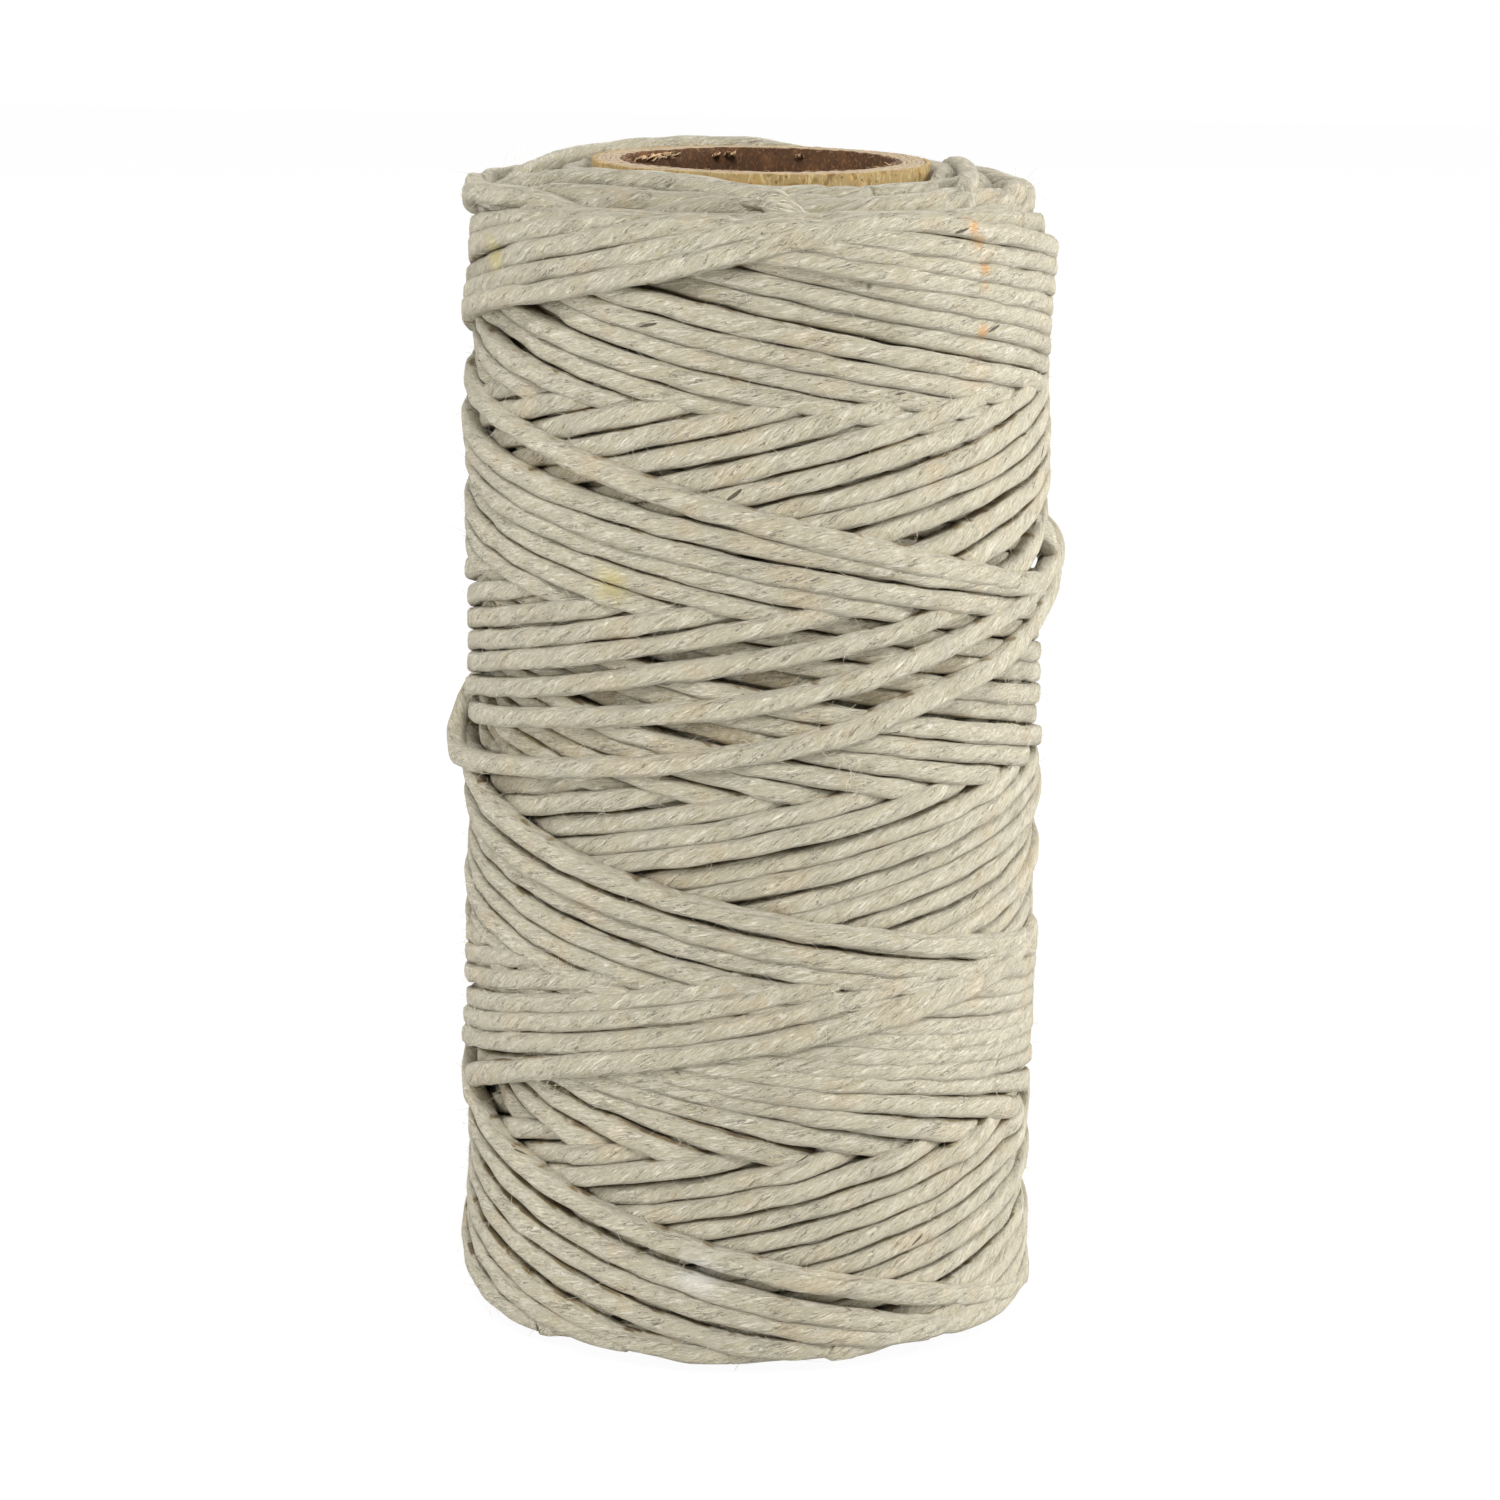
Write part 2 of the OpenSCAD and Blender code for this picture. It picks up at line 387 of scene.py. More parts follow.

# %% [markdown]
# The string's colour is a warm grey-cream. On top of it come the mottling, paler and darker streaks,
# grey hairs, dark specks of seed coat, and a few stains from handling. Deep between two strands the
# light has bounced off cotton several times and turns brown, and that shade is painted into the colour.
# An ambient occlusion node could find such places, but the exported mesh would lose it. Here the mesh
# carries how deep each point lies as an attribute, and the shader uses it to paint a warm, dark shade
# there. The grooves between the plies get a weaker painted shade of the same brown.

# %% Cotton string: material
CREAM = linear(197, 189, 165)
CREAM_WARM = linear(202, 183, 150)
CREAM_GREY = linear(185, 180, 162)
CREAM_PALE = linear(222, 217, 202)
CREAM_DARK = linear(158, 149, 122)
# Painted shade: browns for the creases between strands and the grooves between plies, where little light
# gets in
GAP_SHADE_BROWN = linear(130, 108, 62)
DEEP_SHADE_BROWN = linear(84, 70, 44)
HAIR_GREY = linear(104, 96, 80)
SEED_BROWN = linear(62, 44, 32)


STAIN_DEPTH = 0.3


def at_winding(turn, height):
    """A point just under the winding's surface, at a turn in degrees to the right of the front."""
    angle = math.radians(turn)
    radius = (WINDING_RADIUS - STAIN_DEPTH) * MM
    return (radius * math.sin(angle), -radius * math.cos(angle), height * MM)


RUST = linear(212, 152, 78)
STRAW = linear(205, 190, 110)
LINT = linear(240, 238, 230)
STAINS = [
    (RUST, 42.0, 107.0, 1.3, 0.75), (RUST, 43.5, 105.3, 1.2, 0.8), (RUST, 45.0, 104.0, 1.1, 0.6),
    (RUST, 47.0, 101.6, 1.0, 0.75), (RUST, 47.4, 100.0, 0.8, 0.5), (RUST, 47.6, 95.8, 1.1, 0.7),
    (SEED_BROWN, 20.8, 100.6, 0.5, 0.9), (SEED_BROWN, -18.0, 53.5, 0.6, 0.7),
    (STRAW, -28.4, 73.5, 2.6, 0.55), (STRAW, -62.0, 101.5, 2.4, 0.6), (LINT, -9.0, 9.7, 3.2, 0.6),
]


def cotton_material():
    material, tree, shader = new_material("cotton_string", {
        "Roughness": 0.92, "Specular IOR Level": 0.2, "Sheen Weight": 0.15, "Sheen Roughness": 0.5})
    strand = put(tree, "ShaderNodeUVMap", uv_map="strand").outputs["UV"]
    twisted = place_group(tree, twist, {"Strand": strand})
    colour = place_group(tree, mottling, {"Colour": CREAM, "Warm": CREAM_WARM, "Grey": CREAM_GREY,
                                          "Size mm": 5.0, "Amount": 0.6})["Colour"]
    streaks = twisted["Streaks"]
    colour = blend_colours(tree, ramp(tree, streaks, 0.5, 0.0, 0.0, 0.56), colour, CREAM_DARK)
    colour = blend_colours(tree, ramp(tree, streaks, 0.5, 1.0, 0.0, 0.60), colour, CREAM_PALE)
    # Painted shade in the grooves between the plies
    colour = tint(tree, colour, twisted["Groove"], 0.4, GAP_SHADE_BROWN)
    colour = tint(tree, colour, twisted["Hairs"], 0.8, HAIR_GREY)
    flecks = place_group(tree, specks, {"Vector": twisted["Along"], "Scale": 6.0, "Share": 0.05,
                                        "Radius": 0.14})["Mask"]
    colour = tint(tree, colour, flecks, 0.5, HAIR_GREY)
    space = own_space(tree)
    seeds = place_group(tree, specks, {"Vector": twisted["Along"], "Scale": 1.3, "Share": 0.02,
                                       "Radius": 0.16})["Mask"]
    colour = tint(tree, colour, seeds, 0.85, SEED_BROWN)
    for stain_colour, turn, height, radius, strength in STAINS:
        colour = place_group(tree, stain, {"Colour": colour, "Stain": stain_colour,
                                           "Centre": at_winding(turn, height),
                                           "Radius mm": radius, "Strength": strength})["Colour"]
    # Painted shade: the crease attribute browns and darkens the colour between strands, the deepest most
    crease = put(tree, "ShaderNodeAttribute", attribute_name="crease").outputs["Fac"]
    ragged = calc(tree, "SUBTRACT", noise(tree, space, 2800.0, detail=3.0), 0.5)
    crease = calc(tree, "ADD", crease, calc(tree, "MULTIPLY", ragged, 0.4))
    colour = blend_colours(tree, ramp(tree, crease, 0.10, 0.75, 0.0, 0.92), colour, GAP_SHADE_BROWN)
    colour = blend_colours(tree, ramp(tree, crease, 0.60, 1.10, 0.0, 0.80), colour, DEEP_SHADE_BROWN)
    nap = noise(tree, space, 2600.0, detail=2.0)
    height = calc(tree, "ADD", calc(tree, "MULTIPLY", streaks, 0.55), calc(tree, "MULTIPLY", nap, 0.6))
    height = calc(tree, "SUBTRACT", height, calc(tree, "MULTIPLY", twisted["Groove"], 0.5))
    height = calc(tree, "SUBTRACT", height, calc(tree, "MULTIPLY", twisted["Hairs"], 0.4))
    colour_and_relief(tree, shader, colour, height, 0.9, 0.21 * MM)
    return material


cotton = cotton_material()
print("cotton material with", len(cotton.node_tree.nodes), "nodes and", len(STAINS), "stains")

# %% [markdown]
# ## Winding the string
#
# A string-winding machine turns the tube while a guide carries the string up and down along it. Near
# each end the guide slows down, stops and comes back, which bends the string round into a loop. Each
# there-and-back falls a little short of a whole number of turns, so the next one lies beside the last,
# about one string's width away. Passes up slant one way and passes down slant the other, and where
# they cross the newer one lies on top. That is all there is to the herringbone pattern.
#
# The pattern could be drawn by hand or faked with a texture, but the eye knows at once when strands
# don't pass over each other properly. So the machine is imitated. The winding is a map that holds the
# radius at every turn and height, the string is laid on it pass by pass, and each pass raises the map.
# The first cell sets up the machine, with two small habits of its own. At the top the string turns back
# a little later. Half a turn after the foot it lies a few millimetres higher than it evenly would.

# %% The machine
STRING_HALF_WIDTH = 1.04
STRING_HALF_DEPTH = 0.90
COLUMNS = 1200
COLUMN_TURN = 360 / COLUMNS
ROW_HEIGHT = 0.15
LOWEST_ROW = -2.0
ROWS = int((TUBE_LENGTH + 4.5) / ROW_HEIGHT)

TURNS_A_TRIP = 6
SHORT_OF_TURNS = 21.0
PASS_TURN = (TURNS_A_TRIP * 360 - SHORT_OF_TURNS) / 2
PASSES = 103
LAST_REVERSAL = 91.0
SLOWING_TURN = 26.0
GUIDE_MIDDLE = (WINDING_BOTTOM + WINDING_TOP) / 2 + 0.25
GUIDE_TRAVEL = 52.2
GUIDE_WARP = 0.03
LATE_TURN = 32.0
LATE_FADE = 260.0
FOOT_LIFT = 3.6
FOOT_LIFT_TURN = 190.0
FOOT_LIFT_FADE = 90.0
STEPS_A_PASS = round(PASS_TURN / COLUMN_TURN)


def run_up(turned):
    """How far the guide has come while it speeds up, and at full speed after that."""
    slow = turned**2 / (2 * SLOWING_TURN)
    return np.where(turned < SLOWING_TURN, slow, turned - SLOWING_TURN / 2)


def guide_height(turned, going_up):
    """Height of the guide after a turn into a pass. It slows down before each end."""
    from_top = turned - PASS_TURN if going_up else turned
    from_top = np.abs(from_top - LATE_TURN * np.exp(-((from_top / LATE_FADE) ** 2)))
    from_foot = PASS_TURN - from_top
    whole = PASS_TURN - SLOWING_TURN
    climbed = np.where(from_foot < from_top, run_up(from_foot), whole - run_up(from_top))
    share = climbed / whole * 2 - 1
    height = GUIDE_MIDDLE + GUIDE_TRAVEL * ((1 - GUIDE_WARP) * share + GUIDE_WARP * share**3)
    if going_up:
        height += FOOT_LIFT * np.exp(-(((turned - FOOT_LIFT_TURN) / FOOT_LIFT_FADE) ** 2))
    return height


def pass_turns(number):
    """Turns, in degrees, at each step of a pass. They fall, because the string runs to the left."""
    last_up = PASSES - 1 if PASSES % 2 else PASSES - 2
    first = LAST_REVERSAL + (last_up + 1 - number) * PASS_TURN
    return first - np.arange(STEPS_A_PASS) * COLUMN_TURN


print(f"{PASSES} passes of {PASS_TURN / 360:.2f} turns, {PASSES * PASS_TURN / 360:.0f} turns in all")

# %% [markdown]
# The newest passes are the ones in full view, and chance has shifted some of them. The table gives
# where such a strand crosses the front: a few points of turn and height, in the order from left to
# right, for a pass counted back from the newest. Elsewhere the pass runs where the guide puts it.

# %% Strands that lie out of line
OUT_OF_LINE = {
    0: [[(-86, 89), (78, 71)], [(-78, 52), (86, 36)], [(-86, 21.5), (63, 3.5)]],
    1: [[(-86, 95.2), (-36, 100), (-16, 102.2), (7, 104.8), (19, 106), (35, 105.9), (48, 104.8), (70, 103)],
        [(-78, 53.4), (-52, 55), (-30, 56.6), (-5, 58.5), (15, 60.3), (33, 62.8), (53, 64.9), (66, 66.6)],
        [(-40, 27.7), (40, 34.5), (64, 36)]],
    2: [[(70, 103), (82, 102), (105, 100.5)]],
    3: [[(-60, 99.4), (-40, 101.4), (-20, 103.5), (0, 105.7), (15, 105.3), (28, 104.4), (40, 103.5),
         (49.3, 102.8)],
        [(-86, 57.2), (-72, 58.2), (-46, 60.2), (-16, 62.2), (7, 63.9), (24, 65.7), (43, 67.9), (61, 69.6),
         (82, 71.2)]],
    4: [[(49.3, 102.8), (65, 101.6), (86, 100.1)]],
    5: [[(-70, 100.2), (-50, 102.4), (-40, 103.4), (-30, 104.4), (-21, 105.3), (-12, 105.9), (0, 105.3),
         (15, 104), (28.3, 102.9)],
        [(-86, 59.6), (-76, 60.5), (-46, 63), (-16, 65.9), (7, 67.8), (30, 69.6), (47, 71.5), (66, 73.4)]],
    6: [[(28.3, 102.9), (53, 100.8), (86, 98.2)]],
    7: [[(-80, 101.3), (-65, 102.9), (-50, 104.3), (-40, 105), (-30, 105.5), (-20, 105.4), (0, 103.8),
         (7.3, 103.1)], [(-86, 61.8), (-76, 62.8), (-40, 66.2), (-10, 69.2), (11, 71.2), (30, 73)]],
    8: [[(7.3, 103.1), (28, 101.3), (53, 99.1), (86, 96.3)]],
    9: [[(-80, 103.3), (-60, 104.7), (-45, 105.4), (-30, 105.8), (-13.7, 104.4)],
        [(-86, 63.9), (-76, 64.9), (-40, 68.2), (-11, 71.3), (11, 73.2)]],
    10: [[(-13.7, 104.4), (0, 102.9), (28, 99.9), (53, 97.4), (86, 94.5)]],
    11: [[(-86, 66), (-76, 67), (-40, 70.4), (-20, 72.4)]],
    12: [[(-30, 103.9), (-20, 102.8), (-10, 101.8), (0, 100.9)]],
    13: [[(-86, 68.2), (-76, 69.3), (-60, 70.9)]],
    14: [[(-40, 102.5), (-30, 101.7), (-20, 100.9), (-10, 100), (0, 99), (10, 98.1)]],
}
FADE_TURN = 50.0


def smooth_through(x, known_x, known_y):
    """A smooth curve through the known points."""
    place = np.clip(np.searchsorted(known_x, x) - 1, 0, len(known_x) - 2)
    step = known_x[place + 1] - known_x[place]
    slope = np.gradient(known_y, known_x)
    t = np.clip((x - known_x[place]) / step, 0, 1)
    rise = t * t * (3 - 2 * t)
    bend_out = t * (1 - t) ** 2 * step
    bend_in = -t * t * (1 - t) * step
    return (known_y[place] * (1 - rise) + known_y[place + 1] * rise
            + bend_out * slope[place] + bend_in * slope[place + 1])


def line_correction(turns, heights, points):
    """What to add to a pass's heights so that its nearest turn runs through the points."""
    turn, height = np.array(points, float).T
    best = None
    for whole in range(round(turns[0] / 360) + 1):
        at = turn + 360 * whole
        if at.max() > turns[0] + 1 or at.min() < turns[-1] - 1:
            continue
        shift = height - np.interp(at, turns[::-1], heights[::-1])
        if best is None or abs(shift).mean() < abs(best[1]).mean():
            best = (at, shift)
    at, shift = best
    known_x = np.concatenate([[at[0] - FADE_TURN], at, [at[-1] + FADE_TURN]])
    known_y = np.concatenate([[0], shift, [0]])
    inside = (turns > known_x[0]) & (turns < known_x[-1])
    return np.where(inside, smooth_through(turns, known_x, known_y), 0)


print("passes out of line:", sorted(OUT_OF_LINE))

# %% [markdown]
# Where does the string come to lie? It can't sink into what is under it, and it is taut, so it bridges
# small hollows and bends only gently over bumps. The bridging is a *closing* with a parabola, as used
# on images: first the highest parabola that hangs from each bump, then the lowest one that still fits
# under. A cotton string is soft as well, so part of the rise over each crossing is pressed out again.

# %% A taut and soft string
BEND_RADIUS = 22.0
BRIDGE_REACH = 24


def soften(line, spread):
    """A running average with a bell curve. Spread is in steps."""
    reach = int(spread * 3) + 1
    bell = np.exp(-0.5 * (np.arange(-reach, reach + 1) / spread) ** 2)
    return np.convolve(np.pad(line, reach, mode="edge"), bell / bell.sum(), "valid")


def bridge(line, step):
    """The lowest line above this one whose hollows bend no tighter than the taut string does."""
    starts = np.arange(2 * BRIDGE_REACH + 1)
    drop = ((starts - BRIDGE_REACH) * step) ** 2 / (2 * BEND_RADIUS)
    padded = np.pad(line, BRIDGE_REACH, mode="edge")
    raised = np.max([padded[at:at + len(line)] - d for at, d in zip(starts, drop)], axis=0)
    padded = np.pad(raised, BRIDGE_REACH, mode="edge")
    return np.min([padded[at:at + len(line)] + d for at, d in zip(starts, drop)], axis=0)


print(f"a taut string bridges hollows with a radius of {BEND_RADIUS:.0f} mm or more")

# %% [markdown]
# A pass is laid in chunks of half a turn, so that near a reversal the string also meets its own last
# turn. At each step it lies as low as the highest point of the map under its whole width allows. Near
# the ends of the winding the rounded shoulder limits how far out it can lie.

# %% Laying one pass
PRESSED_IN = 0.30
SOFT_BEND = 0.55
GIVE = 0.65
LEVEL_TURN = 50.0 / 1.5
SHOULDER = 2.6
SHOULDER_ROOM = 1.6
CHUNK = round(180 / COLUMN_TURN)
LOOK = round(100 / COLUMN_TURN)


def section_rise(share):
    """How far the string's rounded section rises above its middle, at a share of its half width."""
    return STRING_HALF_DEPTH * np.sqrt(np.clip(1 - share * share, 0, None))


def shoulder_inset(depth):
    """How far the rounded shoulder lies in from the side, at a depth below the end face."""
    share = np.clip(1 - depth / SHOULDER, 0, 1)
    return SHOULDER * (1 - np.sqrt(np.clip(1 - share**2, 0, 1)))


def lay_pass(surface, turns, heights, body, before):
    """Lays one pass on the map, raises the map, and gives the radius of the string's middle."""
    columns = np.round(turns / COLUMN_TURN).astype(int) % COLUMNS
    reach = int(STRING_HALF_WIDTH / ROW_HEIGHT) + 1
    near = np.arange(-reach, reach + 1)
    step = math.radians(COLUMN_TURN) * body
    middle = np.zeros(len(turns))
    for start in range(0, len(turns), CHUNK):
        end = min(len(turns), start + CHUNK)
        seen = slice(start, min(len(turns), end + LOOK))
        rows = np.round((heights[seen, None] - LOWEST_ROW) / ROW_HEIGHT).astype(int) + near
        rows = np.clip(rows, 0, ROWS - 1)
        share = (LOWEST_ROW + rows * ROW_HEIGHT - heights[seen, None]) / STRING_HALF_WIDTH
        under = np.abs(share) < 1
        lying = np.where(under, surface[columns[seen, None], rows] + section_rise(share), 0).max(1)
        behind = middle[max(0, start - LOOK):start] if start else before[-LOOK:]
        line = soften(bridge(np.concatenate([behind, lying - PRESSED_IN]), step), SOFT_BEND / step)
        level = soften(line, LEVEL_TURN / COLUMN_TURN)
        line = level + GIVE * (line - level)
        depth = np.minimum(heights[start:end] - WINDING_BOTTOM, WINDING_TOP - heights[start:end])
        limit = body + SHOULDER_ROOM - shoulder_inset(depth)
        laid = line[len(behind):len(behind) + end - start]
        middle[start:end] = np.minimum(laid, np.maximum(limit, TUBE_RADIUS + STRING_HALF_DEPTH))
        now = slice(0, end - start)
        top = middle[start:end, None] + section_rise(share[now])
        across = np.broadcast_to(columns[start:end, None], rows[now].shape)
        kept = under[now]
        np.maximum.at(surface, (across[kept], rows[now][kept]), top[kept])
    return middle


print(f"each crossing keeps {GIVE:.0%} of its rise")

# %% [markdown]
# Now the machine runs. Every reversal comes a little higher or lower than the last one, and the string
# wanders slightly as it is laid. Both come from a seeded random generator, so that each run of this
# notebook winds the same spool. The first passes reach a little further up than the last ones, which
# rounds the upper shoulder.

# %% Wind the spool
REVERSAL_PLAY = 0.45
REVERSAL_FADE = 60
INNER_REACH = 1.5
INNER_REACH_POWER = 12
BELOW_TOP = 0.9
ABOVE_BOTTOM = 1
WANDER = 0.16
WANDER_WAVES = ((1.3, 0.5), (2.7, 0.35), (5.3, 0.25), (14.0, 0.2))
BODY_ROWS = slice(round(20 / ROW_HEIGHT), round(90 / ROW_HEIGHT), 7)


def wind():
    """Runs all passes. Gives the finished map and, for each pass, its turns, heights and radii."""
    chance = np.random.default_rng(3)
    surface = np.full((COLUMNS, ROWS), TUBE_RADIUS)
    reversal_shift = chance.normal(0, REVERSAL_PLAY, PASSES + 1)
    turned = np.arange(STEPS_A_PASS) * COLUMN_TURN
    near_start = np.exp(-((turned / REVERSAL_FADE) ** 2))
    near_end = np.exp(-(((PASS_TURN - turned) / REVERSAL_FADE) ** 2))
    body = TUBE_RADIUS
    passes = []
    middle = np.full(STEPS_A_PASS, TUBE_RADIUS)
    for number in range(PASSES):
        turns = pass_turns(number)
        heights = guide_height(turned, number % 2 == 0)
        heights += reversal_shift[number] * near_start + reversal_shift[number + 1] * near_end
        inner_reach = INNER_REACH * (1 - number / PASSES)
        at_top = np.clip((heights - GUIDE_MIDDLE) / GUIDE_TRAVEL, 0, 1) ** INNER_REACH_POWER
        heights += inner_reach * at_top
        for waves, share in WANDER_WAVES:
            start = chance.uniform(0, math.tau)
            heights += WANDER * share * np.sin(np.radians(turns) * waves + start)
        heights += chance.normal(0, WANDER / 2)
        for points in OUT_OF_LINE.get(PASSES - 1 - number, []):
            heights += line_correction(turns, heights, points)
        highest = WINDING_TOP - BELOW_TOP + inner_reach
        heights = np.clip(heights, WINDING_BOTTOM + ABOVE_BOTTOM, highest)
        middle = lay_pass(surface, turns, heights, body, middle)
        passes.append((turns, heights, middle))
        body = np.median(surface[:, BODY_ROWS])
    return surface, passes


surface, passes = wind()
length = sum(np.hypot(np.radians(COLUMN_TURN) * r, np.gradient(h)).sum() for t, h, r in passes)
print(f"{length / 1000:.1f} m of string wound, surface at {np.median(surface):.1f} mm")

# %% [markdown]
# Where many passes happen to cross, the map has grown into a broad hill, and elsewhere into a hollow.
# On the machine a roller rides on the winding and keeps it round. Here a heavily blurred copy of the map
# gives the hills and hollows, and every radius is stretched or squeezed until that copy is level. The
# ridges of single strands are too small for the blur to see, so they stay.
#
# The map also tells where light gets lost, and there shade is painted into the colour. A valley between
# two strands that touch is a *crease*: it is narrow, and its painted shade turns browner with depth.
# Where it is very deep, the strands don't touch and the gap is open, so the painted shade grows weaker
# again. A strand that lies low in a wider valley is in a *hollow*, and takes a weak painted shade all over.

# %% Press the winding round
ROLLED_RADIUS = WINDING_RADIUS - 0.55
HILL_WIDTH = 4.2
BLUR_RADIUS = TUBE_LENGTH / 4
FULL_WINDING_FROM = 2.5
END_FACE_FADE_FROM = 1.0
END_FACE_FADE = 1.5
CREASE_REACH = 3
HOLLOW_REACH = 13
HOLLOW_FROM = 0.75
HOLLOW_SHADE_SHARE = 0.4
OPEN_GAP = 2.1
OPEN_GAP_SHADE = 0.35
RELIEF = 0.74
RELIEF_DEPTH = 1.6
SOFT_LIMIT = 0.8


def blurred(values, width):
    """The map blurred with a bell curve, round the tube and along it. Width is in millimetres."""
    rows = np.arange(ROWS) * ROW_HEIGHT
    along = np.exp(-0.5 * ((rows[:, None] - rows) / width) ** 2)
    along /= along.sum(axis=0)
    cycles = np.fft.rfftfreq(COLUMNS, BLUR_RADIUS * math.tau / COLUMNS)
    around = np.exp(-2 * (math.pi * cycles * width) ** 2)[:, None]
    return np.fft.irfft(np.fft.rfft(values @ along, axis=0) * around, COLUMNS, axis=0)


def narrow_valleys(values, reach):
    """How deep each point lies in a valley that is narrower than twice the reach, in rows."""
    edge = ((0, 0), (reach, reach))
    shifts = range(2 * reach + 1)
    padded = np.pad(values, edge, mode="edge")
    raised = np.max([padded[:, shift:shift + ROWS] for shift in shifts], axis=0)
    padded = np.pad(raised, edge, mode="edge")
    return np.min([padded[:, shift:shift + ROWS] for shift in shifts], axis=0) - values


row_heights = LOWEST_ROW + np.arange(ROWS) * ROW_HEIGHT
near_end = np.minimum(row_heights - WINDING_BOTTOM, WINDING_TOP - row_heights)
full_rows = near_end > FULL_WINDING_FROM
weight = np.broadcast_to(full_rows.astype(float), surface.shape)
hills = blurred(surface * weight, HILL_WIDTH) / np.maximum(blurred(weight, HILL_WIDTH), 1e-6)
away_from_ends = np.clip((near_end - END_FACE_FADE_FROM) / END_FACE_FADE, 0, 1)
# Valley depths that set the painted shade of creases and hollows
crease_shade_depths = narrow_valleys(surface, CREASE_REACH) * away_from_ends
hollow_shade_depths = np.clip(narrow_valleys(surface, HOLLOW_REACH) - HOLLOW_FROM, 0, 1) * away_from_ends


def look_up(table, turns, heights):
    """The value of a map at turns and heights."""
    columns = np.round(turns / COLUMN_TURN).astype(int) % COLUMNS
    rows = np.clip(np.round((heights - LOWEST_ROW) / ROW_HEIGHT).astype(int), 0, ROWS - 1)
    return table[columns, rows]


def rolled(radius, turns, heights):
    """A radius on the wound map, moved to where it lies on the round winding."""
    hill = look_up(hills, turns, heights)
    squeeze = (ROLLED_RADIUS - TUBE_RADIUS) / (hill - TUBE_RADIUS)
    proud = (radius - hill) * squeeze
    flat = ROLLED_RADIUS + proud - (1 - RELIEF) * RELIEF_DEPTH * np.tanh(proud / RELIEF_DEPTH)
    over = flat - (ROLLED_RADIUS - SOFT_LIMIT)
    return np.where(over > 0, flat - over + SOFT_LIMIT * np.tanh(over / SOFT_LIMIT), flat)


print(f"hills between {hills[:, full_rows].min():.1f} and {hills[:, full_rows].max():.1f} mm levelled")

# %% [markdown]
# ## From passes to a mesh
#
# A curve with a bevel would make a round tube along each pass with no code. The string is not round
# though: neighbours press its sides flat, its three plies bulge in turn, and its thickness varies. So
# rings of points are placed along the path and joined by faces. NumPy does it for whole stretches at once,
# where a loop over points in Python would be far slower.
#
# One string is wound here from its start, but most of it lies out of sight. The two newest coverings are
# kept whole, so that no gap between strands looks through to nothing. Of the older passes only what
# shows is kept, and what lies near an end face. Two strands are slack and stand off as loops, and the
# end of the string dives in between its neighbours.

# %% What shows
RING_STEP = 4
HIDDEN_RING_STEP = 4
SHARES_ACROSS = (-0.8, -0.4, 0.0, 0.4, 0.8)
SHOWS_BELOW = 0.35
SHOWS_BESIDE = 6
FULL_COVER = round(360 / SHORT_OF_TURNS) * 2
END_FACE_DEPTH = 4.5
KEPT_COVERS = 2
LOOSE_STRANDS = {1: (94, 69, 13, 1.5), 3: (96, 71.5, 15, 2.2)}
LOOSE_HEIGHT = 6
TUCKED_RINGS = 14
TUCKED_DEPTH = 2.8


def widened(flags, steps):
    """True also up to a few steps before and after each True."""
    padded = np.pad(flags, steps)
    return np.any([padded[i:i + len(flags)] for i in range(2 * steps + 1)], axis=0)


def pass_path(number):
    """The path of a pass: turn, height, radius after rolling, and where it shows."""
    turns, heights, middle = (values[::RING_STEP] for values in passes[number])
    shows = np.zeros(len(turns), bool)
    for share in SHARES_ACROSS:
        top = middle + section_rise(share)
        around = look_up(surface, turns, heights + share * STRING_HALF_WIDTH)
        shows |= top > around - SHOWS_BELOW
    radii = rolled(middle, turns, heights)
    if PASSES - 1 - number in LOOSE_STRANDS:
        turn, height, width, lift = LOOSE_STRANDS[PASSES - 1 - number]
        across = (turns - turn + 180) % 360 - 180
        radii += lift * np.exp(-((across / width) ** 2) - ((heights - height) / LOOSE_HEIGHT) ** 2)
    if number == PASSES - 1:
        from_end = np.arange(len(turns))[::-1]
        radii -= TUCKED_DEPTH * np.clip(1 - from_end / TUCKED_RINGS, 0, 1) ** 2
    return turns, heights, radii, widened(shows, SHOWS_BESIDE)


def kept_rings(number, shows, heights):
    """Which rings of a pass are built."""
    index = np.arange(len(heights))
    if number >= PASSES - KEPT_COVERS * FULL_COVER:
        return shows | (index % HIDDEN_RING_STEP == 0)
    depth = np.minimum(heights - WINDING_BOTTOM, WINDING_TOP - heights)
    return shows | (depth < END_FACE_DEPTH)


print(f"{KEPT_COVERS} coverings of {FULL_COVER} passes kept, older turns only where they show")

# %% [markdown]
# A path is given by turn, height and radius, which suits a round winding. These helpers turn it into
# points in space and measure along it. String is never quite even, so one of them makes smooth random
# values along the way.

# %% Points along a path
def round_axis(angle, radius, height):
    """Points at an angle to the right of the front, a radius from the axis and a height."""
    return np.stack([radius * np.sin(angle), -radius * np.cos(angle), height], -1)


def to_points(turns, heights, radii):
    return round_axis(np.radians(turns), radii, heights)


def step_lengths(turns, heights, radii):
    """The lengths of the straight lines between the points of a path."""
    return np.linalg.norm(np.diff(to_points(turns, heights, radii), axis=0), axis=1)


def running_sum(values):
    """The sum of the values before each one, from 0."""
    return np.concatenate([[0], np.cumsum(values)])


def unit(vectors):
    return vectors / np.linalg.norm(vectors, axis=-1, keepdims=True)


def random_along(distance, knot, seed):
    """Smooth random values between about -1 and 1 along a distance."""
    knots = np.arange(distance.min() - knot, distance.max() + 2 * knot, knot)
    values = np.random.default_rng(seed).normal(0, 0.5, len(knots))
    return smooth_through(distance, knots, values)


print("path helpers ready")

# %% [markdown]
# The section is a *superellipse*: a circle whose power is raised above 2, which flattens its sides.
# Soft string spreads until it meets its neighbours, so its width follows from how far apart the passes
# lie. The section has more points on the side that faces outwards, where it is seen.

